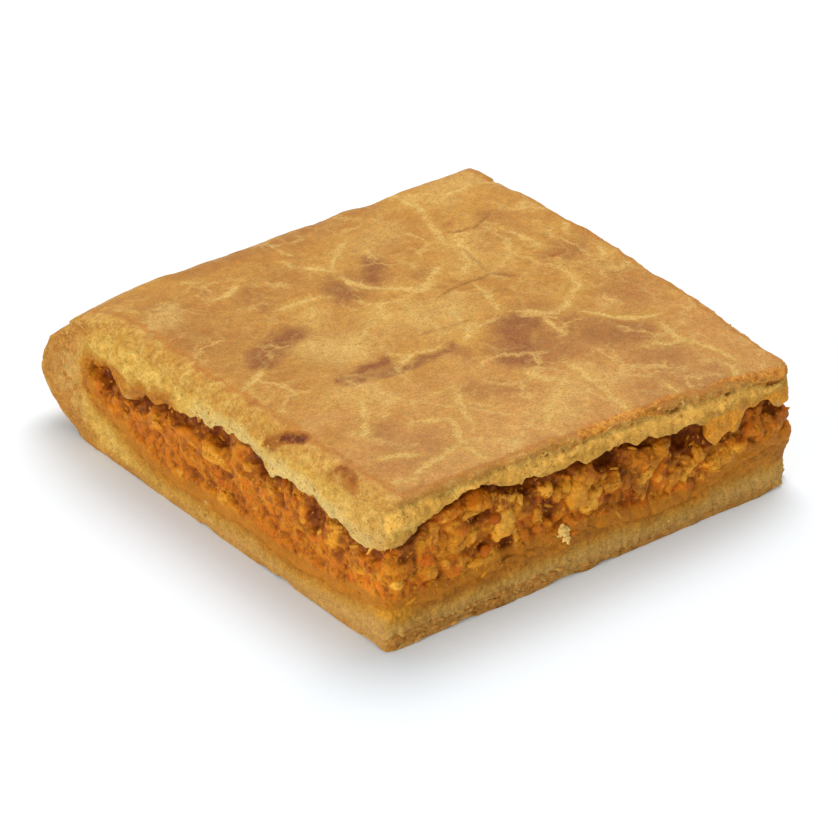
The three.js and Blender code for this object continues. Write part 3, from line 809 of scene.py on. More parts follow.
def shadesOf(points):
    # how dark, partly as painted shade, and how light the filling is made by the two lists
    darkerAndShaded, lighter = np.zeros(len(points)), np.zeros(len(points))
    wander = 1.3 * clouds(points, 5, 3, 31), 1.1 * clouds(points, 4, 3, 32)
    for axis, gap, shades in ((0, frontGap(points), frontShades), (1, leftGap(points), leftShades)):
        inside = ramp(7, 5, gap)
        for along, high, wide, tall, strength in shades:
            across = (points[:, axis] + wander[0] - along) / wide
            away = np.hypot(across, (points[:, 2] + wander[1] - high) / tall)
            here = abs(strength) * ramp(1.5, 0.45, away) * inside
            if strength < 0:
                darkerAndShaded = np.maximum(darkerAndShaded, here)
            else:
                lighter = np.maximum(lighter, here)
    return darkerAndShaded, lighter


def hollowDepth(points):
    depth = np.zeros(len(points))
    wander = 0.25 * clouds(points, 2.6, 3, 28)
    for axis, gap, hollows in ((0, frontGap(points), frontHollows), (1, leftGap(points), leftHollows)):
        for along, high, wide, tall, deep in hollows:
            away = np.hypot((points[:, axis] - along) / wide, (points[:, 2] - high) / tall)
            depth = np.maximum(depth, deep * ramp(1.25, 0.35, away + wander) * (gap < 5))
    return depth


def underTheLid(points, toDough):
    # 1 where the filling stands back under the lid, 0 at the closed end by the rim
    near = ramp(3.8, 1.4, toDough + 0.7 * clouds(points, 4, 2, 26))
    return near * (points[:, 2] > lidFoot) * ramp(44, 38, points[:, 1])


def cutFilling(obj):
    # brings the cut side out to the knife's plane, with the hollows left in it
    look = fillingLook
    mesh = obj.data
    points, normals = readPoints(mesh), readVectors(mesh, "normal")
    cut, way = cutGap(points), outwards(points)
    toDough = farFrom(crustTree, points)
    outward = (normals * way).sum(axis=1)
    facing = ramp(0.15, 0.5, outward) * ramp(7.0, 5.0, cut)
    under = underTheLid(points, toDough)
    sunkAndShaded = np.maximum(look["underLid"] * under, hollowDepth(points))
    atBase = ramp(3.5, 0.8, toDough) * (1 - under)
    target = look["inset"] * (1 - atBase) + sunkAndShaded
    move = way * ((cut - target) * (0.75 + 0.25 * atBase) * facing)[:, None]
    # the sides that lie against the dough press into it, so that no gap shows between them
    atEnd = ramp(36, 43, points[:, 1])
    pressed = ramp(0.9, 0.5, toDough) * (1 - facing)
    inPlane = normals - way * outward[:, None]
    move += normals * (look["close"] * pressed)[:, None] + inPlane * (look["endSwell"] * atEnd)[:, None]
    # near the cuts it runs on into the base and into the closed end, so that both are cut as one
    runsOn = look["runOn"] * ramp(3.0, 0.8, toDough) * ramp(6.0, 4.0, cut)
    move[:, 2] -= runsOn * (points[:, 2] < lidFoot) * (1 - atEnd)
    move[:, 1] += runsOn * atEnd
    writePoints(mesh, points + move)


def shapeFilling(obj):
    look = fillingLook
    mesh = obj.data
    points, normals = readPoints(mesh), readVectors(mesh, "normal")
    toDough = farFrom(crustTree, points)
    facing = ramp(-0.3, 0.3, (normals * outwards(points)).sum(axis=1)) * ramp(6.5, 5.0, cutGap(points))
    # chunky on the front, finer on the left
    chunky = ramp(5, 2, frontGap(points)) * ramp(-44, -34, points[:, 0])

    warped = points + 0.4 * np.stack([clouds(points, 3, 2, s) for s in (21, 22, 23)], -1)
    lumps, lumpNumber = grains(warped, look["lumpWide"], 1)
    middle = 0.5 + 0.5 * clouds(warped, look["flakeWide"], 3, 30)
    small = billows(warped, look["granuleWide"], 3)
    fine = billows(points, look["grainWide"], 4)
    lift = look["lump"] * (0.35 + 0.65 * chunky) * (lumps - 0.5) + look["flake"] * (middle - 0.5)
    lift += look["granule"] * (small - 0.5) + look["grain"] * (fine - 0.5)
    under = underTheLid(points, toDough)
    # where it lies back under the lid and in its hollows; the material paints these places as shade
    sunkAndShaded = np.maximum(under, hollowDepth(points) / 2.2)
    atBase = ramp(2.6, 0.5, toDough + 0.5 * clouds(points, 3, 2, 29)) * (1 - under)
    lift = lift * (1 - 0.6 * atBase) * ramp(1.8, 0.5, np.clip(sunkAndShaded, 0, 2)) + look["baseLift"] * atBase
    # where it runs on over the dough it thins out, so that the two meet without a step
    beyond = farFrom(fillingTree, points) * (points[:, 2] < lidFoot) * ramp(1.5, 0.5, toDough)
    lift -= look["feather"] * ramp(1.0, look["runOn"], beyond)
    darkerAndShaded, lighter = shadesOf(points)
    lift += look["swelling"] * (lighter - darkerAndShaded) * (1 - atBase)
    points = points + normals * (lift * facing)[:, None]
    writePoints(mesh, points)
    smoothShade(mesh)

    # how high each place lies on its lumps; the material paints this as shade in the valleys and as highlight
    # on the tops
    lightShadeByHeight = 0.5 + 0.28 * (lumps - 0.5) + 0.34 * (middle - 0.5) + 0.24 * (small - 0.5) + 0.14 * (fine - 0.5)
    paint(mesh, "lightShadeByHeight", lightShadeByHeight - 0.07 * (1 - chunky))
    paint(mesh, "lump", lumpNumber)
    paint(mesh, "sunkAndShaded", np.clip(sunkAndShaded, 0, 1))
    paint(mesh, "merge", atBase)
    paint(mesh, "chunky", chunky)
    paint(mesh, "darkerAndShaded", darkerAndShaded)
    paint(mesh, "lighter", lighter)
    # redder at the front corner on the left, least red on the left cut
    toCorner = np.hypot(leftGap(points), frontGap(points))
    paint(mesh, "reddish", 0.3 + 0.4 * chunky + 0.9 * ramp(16, 5, toCorner))


def makeFilling():
    look = fillingLook
    obj = evenCopy("filling", "fillingMoist", look["voxel"])
    soften(obj, 3)
    cutFilling(obj)
    remesh(obj, look["fineVoxel"])
    thinHidden(obj, cutGap(readPoints(obj.data)) > 6.5, keep=0.05)
    soften(obj, 2)
    refine(obj, cutGap(readPoints(obj.data)) < 5.0)
    shapeFilling(obj)
    say(f"filling, {triangles(obj)} triangles")
    return obj


filling = makeFilling()

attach(filling, "root")
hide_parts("filling")

# pale pieces that stand out of the filling on each side: place along it, height, size, width and
# height as shares of it, how pale, and how square
paleChunks = {
    "front": [
        (-22.0, 18.0, 2.5, 1.0, 1.1, 0.9, 0.8), (-17.8, 20.5, 1.2, 0.8, 1.5, 0.9, 0.4),
        (-4.2, 17.6, 2.6, 0.9, 1.3, 0.6, 0.6), (-8.6, 18.8, 1.3, 0.9, 1.2, 0.3, 0.3),
        (-47.2, 14.0, 1.2, 1.2, 0.8, 1.0, 0.3), (-29.5, 22.4, 1.9, 2.0, 0.6, 0.6, 0.3),
        (-33.0, 16.8, 2.1, 1.2, 0.9, 0.45, 0.4), (-27.5, 11.4, 2.1, 1.5, 0.8, 0.55, 0.2),
        (15.4, 16.6, 2.3, 1.0, 1.1, 0.3, 0.4), (9.0, 15.0, 1.8, 0.9, 1.2, 0.05, 0.4),
        (33.5, 11.6, 1.9, 1.5, 0.8, 0.55, 0.2), (27.0, 14.6, 1.6, 0.8, 1.2, 0.5, 0.3),
        (-13.4, 16.2, 1.5, 1.0, 1.1, 0.4, 0.4), (3.6, 16.6, 1.7, 1.2, 0.8, 0.35, 0.4),
        (-39.0, 13.2, 1.5, 1.0, 1.2, 0.4, 0.3), (20.6, 12.6, 1.6, 1.3, 0.9, 0.35, 0.3),
    ],
    "left": [
        (-33.0, 18.8, 1.9, 1.2, 0.7, 0.7, 0.4), (5.6, 16.6, 2.1, 1.5, 0.6, 0.7, 0.2),
        (38.2, 19.2, 1.3, 1.1, 0.9, 0.4, 0.2), (-13.0, 17.6, 1.4, 1.2, 0.8, 0.4, 0.3),
        (16.8, 7.6, 1.3, 0.9, 1.1, 0.6, 0.3), (24.4, 15.2, 1.3, 1.3, 0.8, 0.5, 0.3),
        (-5.0, 19.0, 1.4, 1.3, 0.7, 0.5, 0.3), (-41.0, 13.6, 1.5, 1.2, 0.8, 0.4, 0.3),
        (12.4, 13.0, 1.3, 1.1, 0.8, 0.4, 0.3), (-22.8, 15.8, 1.3, 1.0, 0.9, 0.45, 0.3),
    ],
}

# how thick the pale pieces are, how uneven, and how deep they sit, as shares of their size
chunkLook = {"thickness": 0.8, "rough": 0.2, "sink": 0.62}

# small lumps scattered over the cuts: how many, on the dough or the filling, between which heights,
# their size, width and thickness as shares of it, how uneven, how light and how deep they sit
tomatoLook = {
    "count": 36, "on": "filling", "heights": ((9, 25),), "size": (0.6, 1.3), "width": (0.5, 0.9),
    "thickness": 0.4, "rough": 0.3, "tone": (0, 1), "sink": 0.45,
}
grainLook = {
    "count": 1000, "on": "filling", "heights": ((8, 27),), "size": (0.28, 0.60), "width": (0.6, 1),
    "thickness": 0.7, "rough": 0.35, "tone": (0.3, 0.9), "sink": 0.6,
}
crumbLook = {
    "count": 1100, "on": "dough", "heights": ((0.6, 4), (20, 31), (22, 31)), "size": (0.16, 0.36),
    "width": (0.7, 1), "thickness": 0.8, "rough": 0.35, "tone": (0.0, 0.7), "sink": 0.5,
}

# strands of fish, the thickness as a share of the width
shredLook = {
    "count": 60, "on": "filling", "heights": ((9, 25),), "size": (0.8, 1.9), "width": (0.2, 0.34),
    "thickness": 0.8, "rough": 0.25, "tone": (0.1, 0.65), "sink": 0.45, "bend": (-1.2, 0.3),
}

# thin brown flakes along the foot and the upper edge of the front cut
flakeLook = {
    "count": 130, "size": (0.5, 1.3), "width": (0.2, 0.4), "thickness": 0.25, "rough": 0.4, "sink": 0.3,
    "atFoot": 0.7,  # the share of them at the foot
    "deepest": 2.5,  # how far into the cut they may sit
}

# the parts of a loose crumb that lies on the base: across, up and size
looseCrumb = [(0, 0.8, 1.0), (0.6, -0.7, 0.8), (-0.7, 1.7, 0.7), (0.9, -1.6, 0.6), (-1.2, 0.9, 0.6),
              (0.9, 1.2, 0.5), (-0.4, 2.5, 0.4)]

draw = random.Random(7)
cutTrees = {"dough": treeOf(readPoints(crust.data), facesOf(crust.data)),
            "filling": treeOf(readPoints(filling.data), facesOf(filling.data))}
rayStart = 20  # how far outside a cut the straight lines into it start
deepest = 4  # how far into a cut the scattered lumps may sit
batchSize = 1500  # vertices made at once, because each operator goes through its whole bmesh


def onCut(side, along, high):
    # what a straight line into the cut first meets: its name, the place, its normal and how far in
    if side == "front":
        start, way = Vector((along, cutFront - rayStart, high)), Vector((0, 1, 0))
    elif side == "left":
        start, way = Vector((cutLeft - rayStart, along, high)), Vector((1, 0, 0))
    else:
        start, way = Vector((cutRight + rayStart, along, high)), Vector((-1, 0, 0))
    best = None
    for name, tree in cutTrees.items():
        spot, normal, _, away = tree.ray_cast(start, way)
        if spot and (best is None or away - rayStart < best[3]):
            best = (name, spot, normal, away - rayStart)
    return best


def scattered(look):
    # places over the three cuts that meet the wanted one of the two, not too far in
    found = []
    while len(found) < look["count"]:
        side = draw.choices(("front", "left", "right"), (1.0, 0.95, 0.8))[0]
        along = draw.uniform(cutFront, 60 if side != "front" else cutRight)
        hit = onCut(side, along, draw.uniform(*draw.choice(look["heights"])))
        if hit and hit[0] == look["on"] and hit[3] < deepest:
            found.append((hit[1], hit[2]))
    return found


def newBatch():
    bm = bmesh.new()
    bm.verts.layers.float.new("tone")
    return bm


def newPile():
    return {"batch": newBatch(), "done": []}


def closeBatch(pile):
    mesh = bpy.data.meshes.new("batch")
    pile["batch"].to_mesh(mesh)
    pile["batch"].free()
    pile["done"].append(mesh)
    pile["batch"] = newBatch()


def addLump(pile, spot, normal, size, stretch, rough, tone, sink, turn, detail=2, square=0.0, bend=0.0):
    # one uneven lump on a surface; stretch is across, up and out of it
    if len(pile["batch"].verts) > batchSize:
        closeBatch(pile)
    bm = pile["batch"]
    verts = bmesh.ops.create_icosphere(bm, subdivisions=detail, radius=1)["verts"]
    seed = Vector((draw.random(), draw.random(), draw.random())) * 60
    for v in verts:
        if square:
            v.co = v.co.lerp(Vector([math.copysign(abs(c) ** 0.5, c) * 0.85 for c in v.co]), square)
        v.co *= 1 + rough * (1.6 * noise.noise(v.co * 1.1 + seed) + 0.8 * noise.noise(v.co * 2.7 + seed))
        v.co.z += bend * (v.co.y ** 2 - 0.4)
    facing = normal.to_track_quat("Z", "Y") @ Euler((0, 0, turn)).to_quaternion()
    centre = spot - normal * size * stretch[2] * sink + Vector(squareMiddle)
    grow = Vector(stretch) * size * mm
    bmesh.ops.transform(bm, matrix=Matrix.LocRotScale(centre * mm, facing, grow), verts=verts)
    tones = bm.verts.layers.float["tone"]
    for v in verts:
        v[tones] = tone


def finishPile(pile, name):
    closeBatch(pile)
    bm = pile["batch"]
    for batch in pile["done"]:
        bm.from_mesh(batch)
        bpy.data.meshes.remove(batch)
    mesh = bpy.data.meshes.new(name)
    bm.to_mesh(mesh)
    bm.free()
    smoothShade(mesh)
    obj = newObject(name, mesh)
    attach(obj, "root")
    say(f"{name}, {triangles(obj)} triangles")
    return obj


def upright(normal):
    # the turn that keeps a lump's height upright on a steep surface
    side = normal.to_track_quat("Z", "Y")
    up = side @ Vector((0, 1, 0))
    across = side @ Vector((1, 0, 0))
    return math.atan2(-across.z, up.z)


def makeChunks():
    look = chunkLook
    pile = newPile()
    for side, out in (("front", Vector((0, -1, 0))), ("left", Vector((-1, 0, 0)))):
        for along, high, size, wide, tall, tone, square in paleChunks[side]:
            spot = onCut(side, along, high)[1]
            addLump(pile, spot, out, size, (wide, tall, look["thickness"]), rough=look["rough"], detail=4,
                    tone=tone, sink=look["sink"], turn=upright(out), square=square)
    return finishPile(pile, "fishChunks")


def makeShreds():
    look = shredLook
    pile = newPile()
    for spot, normal in scattered(look):
        size, slim = draw.uniform(*look["size"]), draw.uniform(*look["width"])
        addLump(pile, spot, normal, size, (slim, 1, slim * look["thickness"]), rough=look["rough"],
                tone=draw.uniform(*look["tone"]), sink=look["sink"], turn=draw.uniform(0, math.pi),
                bend=draw.uniform(*look["bend"]))
    # a pale strand hangs out under the lid at the front corner
    spot = onCut("front", -49.0, 20.5)[1]
    addLump(pile, spot, Vector((-0.5, -0.86, 0)), 1.9, (0.17, 1, 0.15), rough=0.2, detail=3, tone=1.3,
            sink=-0.8, turn=2.6, bend=-0.8)
    return finishPile(pile, "fishShreds")


def addScattered(pile, spots, look):
    for spot, normal in spots:
        size, width = draw.uniform(*look["size"]), draw.uniform(*look["width"])
        addLump(pile, spot, normal, size, (1, width, look["thickness"]), rough=look["rough"],
                tone=draw.uniform(*look["tone"]), sink=look["sink"], turn=draw.uniform(0, math.pi))


def makeTomato():
    pile = newPile()
    addScattered(pile, scattered(tomatoLook), tomatoLook)
    return finishPile(pile, "tomatoBits")


def makeGrains():
    pile = newPile()
    addScattered(pile, scattered(grainLook), grainLook)
    return finishPile(pile, "fillingGrains")


def makeCrumbs():
    pile = newPile()
    # none where the surface is nearly level, as the skin on top is
    steep = [(spot, normal) for spot, normal in scattered(crumbLook) if normal.z <= 0.6]
    addScattered(pile, steep, crumbLook)
    # a loose crumb lies on the base under the pale chunks
    spot = onCut("front", -7.5, 9.6)[1]
    for across, up, size in looseCrumb:
        centre = spot + Vector((across, -0.2, up))
        addLump(pile, centre, Vector((0, -1, 0)), size, (1, 1, 0.6), rough=0.5, detail=3, tone=1.1, sink=0.0,
                turn=draw.uniform(0, 3))
    return finishPile(pile, "doughCrumbs")


def flakePlace():
    # along the front cut and up: mostly at the foot and left of the middle, or under the upper edge
    if draw.random() < flakeLook["atFoot"]:
        along = draw.uniform(-49, 47) if draw.random() < 0.35 else draw.uniform(-48, -8)
        return along, draw.uniform(0.5, 1.4) if along > -8 else draw.uniform(0.5, 3.2)
    along, high = draw.uniform(-14, 47), 34.0
    while high > 22 and not atFace(along, high):
        high -= 0.3
    return along, high - draw.uniform(0.1, 1.8)


def atFace(along, high):
    # whether the front cut itself, and not the top behind it, is met at this place
    hit = onCut("front", along, high)
    return hit is not None and hit[3] < 1.3


def makeFlakes():
    look = flakeLook
    pile = newPile()
    found = 0
    while found < look["count"]:
        hit = onCut("front", *flakePlace())
        if not hit or hit[0] != "dough" or hit[3] > look["deepest"]:
            continue
        out = Vector((draw.uniform(-0.2, 0.2), -1, draw.uniform(-0.2, 0.4))).normalized()
        size, width = draw.uniform(*look["size"]), draw.uniform(*look["width"])
        addLump(pile, hit[1], out, size, (1, width, look["thickness"]), rough=look["rough"],
                tone=draw.random(), sink=look["sink"], turn=upright(out) + draw.uniform(-0.35, 0.35))
        found += 1
    return finishPile(pile, "crustFlakes")


chunks, shreds, tomato = makeChunks(), makeShreds(), makeTomato()
bits, crumbs, flakes = makeGrains(), makeCrumbs(), makeFlakes()


def fillInputs(tree, node, inputs):
    # each value is a number, a vector, a colour or another node's output
    for name, value in inputs.items():
        socket = node.inputs[name]
        if isinstance(value, bpy.types.NodeSocket):
            tree.links.new(value, socket)
        elif socket.type == "RGBA":
            socket.default_value = (*value, 1)
        else:
            socket.default_value = value


def addNode(tree, kind, inputs=None, **settings):
    made = tree.nodes.new(kind)
    for name, value in settings.items():
        setattr(made, name, value)
    fillInputs(tree, made, inputs or {})
    return made


def attribute(tree, name):
    return addNode(tree, "ShaderNodeAttribute", attribute_name=name).outputs["Fac"]


def objectPlace(tree):
    return addNode(tree, "ShaderNodeTexCoord").outputs["Object"]


def noiseField(tree, size, detail=3.0, roughness=0.55, stretch=(1, 1, 1)):
    # size in mm
    spot = objectPlace(tree)
    if stretch != (1, 1, 1):
        spot = addNode(tree, "ShaderNodeMapping", {"Vector": spot, "Scale": stretch}).outputs[0]
    made = addNode(tree, "ShaderNodeTexNoise", {
        "Vector": spot, "Scale": 1 / (size * mm), "Detail": detail, "Roughness": roughness})
    return made.outputs["Fac"]


def calculate(tree, operation, first, second):
    return addNode(tree, "ShaderNodeMath", {0: first, 1: second}, operation=operation).outputs[0]


def times(tree, first, second):
    return calculate(tree, "MULTIPLY", first, second)


def plus(tree, first, second):
    return calculate(tree, "ADD", first, second)


def centred(tree, value):
    return calculate(tree, "SUBTRACT", value, 0.5)


def swing(tree, value, amount, middle=1.0):
    # a centred value made wider, about a middle
    return plus(tree, times(tree, value, amount), middle)


def blurred(tree, name, jitter, amount):
    # an attribute with its borders made uneven
    return plus(tree, attribute(tree, name), times(tree, jitter, amount))


def rampNode(tree, value, low, high, atLow=0.0, atHigh=1.0):
    made = addNode(tree, "ShaderNodeMapRange", {
        "Value": value, "From Min": low, "From Max": high, "To Min": atLow, "To Max": atHigh},
        interpolation_type="SMOOTHSTEP")
    return made.outputs["Result"]


def mixColor(tree, amount, first, second):
    return addNode(tree, "ShaderNodeMix", {0: amount, 6: first, 7: second}, data_type="RGBA").outputs[2]


def tint(tree, color, over, value, share):
    return mixColor(tree, times(tree, value, share), color, over)


def cover(tree, color, over, value, low, high, most=1.0):
    # lays one colour over another, none of it at the low value and the most of it at the high one
    return mixColor(tree, rampNode(tree, value, low, high, 0.0, most), color, over)


def cellDistance(tree, size):
    # how far each place seen from above is from the border of its uneven cell, in mm
    wander = addNode(tree, "ShaderNodeTexNoise", {
        "Vector": objectPlace(tree), "Scale": 1 / (6 * mm), "Detail": 4.0, "Roughness": 0.7})
    bent = addNode(tree, "ShaderNodeVectorMath", {
        0: wander.outputs["Color"], "Scale": 9 * mm}, operation="SCALE")
    moved = addNode(tree, "ShaderNodeVectorMath", {0: objectPlace(tree), 1: bent.outputs[0]}, operation="ADD")
    flat = addNode(tree, "ShaderNodeMapping", {"Vector": moved.outputs[0], "Scale": (1, 1, 0)})
    cells = addNode(tree, "ShaderNodeTexVoronoi", {
        "Vector": flat.outputs[0], "Scale": 1 / (size * mm)}, feature="DISTANCE_TO_EDGE")
    return times(tree, cells.outputs["Distance"], size)


def newGroup(name, inputs, outputs):
    group = bpy.data.node_groups.new(name, "ShaderNodeTree")
    for way, sockets in (("INPUT", inputs), ("OUTPUT", outputs)):
        for label, kind in sockets.items():
            group.interface.new_socket(label, in_out=way, socket_type="NodeSocket" + kind)
    return group, group.nodes.new("NodeGroupInput").outputs, group.nodes.new("NodeGroupOutput")


def makeGrain():
    # fine uneven grain: a colour made a little lighter and darker, and its height
    group, given, out = newGroup("fineGrain", {"Color": "Color", "Strength": "Float"},
                                 {"Color": "Color", "Height": "Float"})
    fine, soft = noiseField(group, 0.42, 2.0, 0.7), noiseField(group, 1.6, 2.0, 0.6)
    both = plus(group, times(group, fine, 0.65), times(group, soft, 0.35))
    factor = swing(group, centred(group, both), given["Strength"])
    scaled = addNode(group, "ShaderNodeVectorMath", {0: given["Color"], "Scale": factor}, operation="SCALE")
    fillInputs(group, out, {"Color": scaled.outputs[0], "Height": both})
    return group


def makeSpeckle():
    # small toasted specks laid over a colour
    group, given, out = newGroup("toastSpecks", {"Color": "Color", "Speck": "Color", "Amount": "Float"},
                                 {"Color": "Color"})
    patchy = centred(group, noiseField(group, 3.0, 2.0, 0.6))
    level = plus(group, noiseField(group, 0.55, 3.0, 0.75), times(group, patchy, 0.6))
    edge = calculate(group, "SUBTRACT", 0.93, times(group, given["Amount"], 0.55))
    over = calculate(group, "SUBTRACT", level, edge)
    fillInputs(group, out, {"Color": cover(group, given["Color"], given["Speck"], over, 0.0, 0.10)})
    return group


grainGroup = makeGrain()
speckleGroup = makeSpeckle()


def useGroup(tree, group, **inputs):
    return addNode(tree, "ShaderNodeGroup", inputs, node_tree=group).outputs


def newMaterial(name):
    material = bpy.data.materials.new(name)
    material.use_nodes = True
    return material, material.node_tree, material.node_tree.nodes["Principled BSDF"]


def finishSurface(tree, shader, color, grain, rough, finish):
    # fine grain in the colour and in the relief, and how much light the surface gives back and lets in
    grainy = useGroup(tree, grainGroup, Color=color, Strength=grain)
    bump = addNode(tree, "ShaderNodeBump", {
        "Height": grainy["Height"], "Strength": finish["relief"], "Distance": finish["reliefHeight"] * mm})
    fillInputs(tree, shader, {
        "Base Color": grainy["Color"], "Roughness": rough, "Normal": bump.outputs[0],
        "Specular IOR Level": finish["shine"]})
    if "lightIn" in finish:
        fillInputs(tree, shader, {
            "Subsurface Weight": finish["lightIn"], "Subsurface Radius": finish["lightSpread"],
            "Subsurface Scale": finish["lightReach"] * mm})


doughColors = {
    "golden": (0.56, 0.27, 0.048),
    "yellow": (0.61, 0.335, 0.065),
    "orange": (0.46, 0.19, 0.032),
    "toasted": (0.27, 0.086, 0.023),
    "pale": (0.72, 0.46, 0.13),
    "crease": (0.28, 0.115, 0.022),
    "burnt": (0.15, 0.035, 0.012),
    "crumb": (0.73, 0.46, 0.10),
    "crumbShade": (0.60, 0.32, 0.052),
    "cream": (0.92, 0.48, 0.088),
    "baked": (0.49, 0.205, 0.034),  # dough just under the skin
    "edge": (0.50, 0.19, 0.026),  # torn edge of the skin
    "tear": (0.84, 0.36, 0.04),
    "tearShade": (0.44, 0.14, 0.013),
    "scorched": (0.40, 0.14, 0.020),
    "corner": (0.74, 0.34, 0.02),
    # painted shade, in the torn pockets under the skin and deep in the hollow that the filling leaves
    "pocket": (0.20, 0.065, 0.008),  # torn hollows under the skin
    "speck": (0.30, 0.115, 0.020),
    "soaked": (0.50, 0.184, 0.011),
    "soakedShade": (0.38, 0.13, 0.0085),
    "oily": (0.54, 0.265, 0.034),  # where the dough is only a little soaked
    "amber": (0.78, 0.31, 0.022),  # soaked bits of the lid
    "sandy": (0.54, 0.285, 0.075),
    "lip": (0.66, 0.46, 0.15),
    "dusty": (0.66, 0.33, 0.10),
}

doughFinish = {
    "skinGrain": 1.45,  # how strongly the fine grain lightens and darkens the skin
    "crumbGrain": 1.8,
    "cellVein": 0.6,  # strength of the finer net of pale lines
    "meshBrown": 0.3,  # how much browner the skin is inside the net's meshes
    "skinRough": 0.55,
    "crumbRough": 0.85,
    "relief": 0.5,  # strength of the fine relief, and its height in mm
    "reliefHeight": 0.4,
    "shine": 0.14,
}


def skinColor(tree, jitter):
    # golden, browner in slow patches and between the pale veins
    c = doughColors
    slowPatch = rampNode(tree, noiseField(tree, 24, 4.0, 0.65), 0.36, 0.66)
    skin = mixColor(tree, slowPatch, c["golden"], c["orange"])
    smallPatch = rampNode(tree, noiseField(tree, 5, 4.0, 0.7), 0.35, 0.68)
    skin = tint(tree, skin, c["yellow"], smallPatch, 0.5)
    skin = tint(tree, skin, c["dusty"], attribute(tree, "dusty"), 0.5)
    skin = tint(tree, skin, c["pale"], attribute(tree, "pale"), 0.75)
    # a net of paler lines, browner inside its meshes
    wideNet, fineNet = cellDistance(tree, 15.0), cellDistance(tree, 6.5)
    fading = rampNode(tree, noiseField(tree, 9, 2.0, 0.6), 0.40, 0.60)
    vein = blurred(tree, "vein", jitter, 0.6)
    inMesh = rampNode(tree, calculate(tree, "MINIMUM", vein, wideNet), 1.0, 4.5)
    skin = tint(tree, skin, c["orange"], inMesh, doughFinish["meshBrown"])
    toast = times(tree, attribute(tree, "toast"), swing(tree, jitter, 2.2, 1.15))
    skin = mixColor(tree, toast, skin, c["toasted"])
    skin = cover(tree, skin, c["toasted"], noiseField(tree, 1.3, 4.0, 0.75), 0.54, 0.72, 0.25)
    strong = rampNode(tree, noiseField(tree, 5, 3.0, 0.6), 0.32, 0.55, 0.45, 1.0)
    for over, reach, full, most in (("yellow", 3.0, 0.4, 0.5), ("pale", 1.1, 0.15, 0.85)):
        skin = tint(tree, skin, c[over], rampNode(tree, vein, reach, full, 0.0, most), strong)
    for away, reach, most in ((wideNet, 0.9, 1.0), (fineNet, 0.55, 0.5)):
        line = times(tree, rampNode(tree, away, reach, 0.0, 0.0, most), fading)
        skin = tint(tree, skin, c["pale"], line, doughFinish["cellVein"])
    crease = rampNode(tree, blurred(tree, "crease", jitter, 0.6), 0.7, 0.05)
    return tint(tree, skin, c["crease"], times(tree, crease, attribute(tree, "creaseStrength")), 0.8)


def frayedSkin(tree, skin, bread, jitter, uneven):
    # beside the cuts the skin is rubbed and crumbly, and its torn edge is browner
    c = doughColors
    rubbed = cover(tree, bread, c["baked"], noiseField(tree, 1.2, 4.0, 0.8), 0.42, 0.62)
    fray = blurred(tree, "fray", jitter, 1.6)
    skin = cover(tree, skin, rubbed, fray, 0.3, 1.0, 0.75)
    tornEdge = times(tree, rampNode(tree, fray, 0.02, 0.22), rampNode(tree, fray, 0.6, 0.3))
    skin = tint(tree, skin, c["edge"], tornEdge, 0.6)
    fray = attribute(tree, "fray")
    rubbedEdge = times(tree, rampNode(tree, fray, 0.0, 0.15), rampNode(tree, fray, 0.55, 0.3))
    return cover(tree, skin, c["edge"], times(tree, rubbedEdge, uneven), 0.3, 1.0, 0.6)


def breadColor(tree, bread, jitter, uneven):
    # cut dough: browner towards the skin, pale and brown in places, with toasted specks and painted shade in
    # the pockets
    c = doughColors
    near = rampNode(tree, blurred(tree, "depth", jitter, 2.4), 2.1, 0.5)
    baked = tint(tree, bread, c["baked"], near, 0.6)
    baked = tint(tree, baked, c["cream"], attribute(tree, "cream"), 0.85)
    baked = mixColor(tree, attribute(tree, "lip"), baked, c["lip"])
    baked = mixColor(tree, attribute(tree, "shade"), baked, c["sandy"])
    brown = calculate(tree, "MAXIMUM", attribute(tree, "foot"), attribute(tree, "rim"))
    baked = cover(tree, baked, c["baked"], times(tree, brown, swing(tree, jitter, 3.2)), 0.25, 0.95, 0.9)
    # painted shade in the pockets under the skin's ridge
    pocketShade = times(tree, attribute(tree, "pocket"), uneven)
    baked = cover(tree, baked, c["pocket"], pocketShade, 0.25, 0.75, 0.85)
    amount = plus(tree, times(tree, near, 0.12), times(tree, attribute(tree, "front"), 0.03))
    amount = plus(tree, amount, times(tree, brown, 0.5))
    speckled = useGroup(tree, speckleGroup, Color=baked, Speck=c["speck"], Amount=amount)["Color"]
    return mixColor(tree, 0.85, baked, speckled)


def soakedBread(tree, bread, soak, jitter):
    # oily where the filling has soaked in a little, its own colour where it is soaked through, and painted
    # shade deep in its hollow
    c = doughColors
    blotches = noiseField(tree, 3.0, 3.0, 0.6, (0.45, 0.45, 1.6))
    wet = cover(tree, c["soaked"], c["soakedShade"], blotches, 0.35, 0.68)
    wet = mixColor(tree, attribute(tree, "wetLid"), wet, c["amber"])
    wet = tint(tree, wet, c["corner"], attribute(tree, "corner"), 0.5)
    wetness = plus(tree, soak, times(tree, jitter, 0.3))
    bread = cover(tree, bread, c["oily"], wetness, 0.02, 0.55, 0.9)
    bread = cover(tree, bread, wet, wetness, 0.35, 0.95)
    # painted shade deep in the hollow that the filling leaves
    return tint(tree, bread, c["pocket"], attribute(tree, "inside"), 0.75)


def scorched(tree, color, patchy, uneven):
    # torn, scorched and burnt places, ragged at their edges
    c = doughColors
    torn = cover(tree, c["tear"], c["tearShade"], patchy, -0.1, 0.12)
    for name, over, low, high, most in (
        ("tear", torn, 0.3, 1.0, 0.85),
        ("mark", c["scorched"], 0.2, 0.9, 0.75),
        ("burn", c["scorched"], 0.05, 0.5, 1.0),
        ("burn", c["burnt"], 0.4, 1.0, 1.0),
    ):
        color = cover(tree, color, over, times(tree, attribute(tree, name), uneven), low, high, most)
    return color


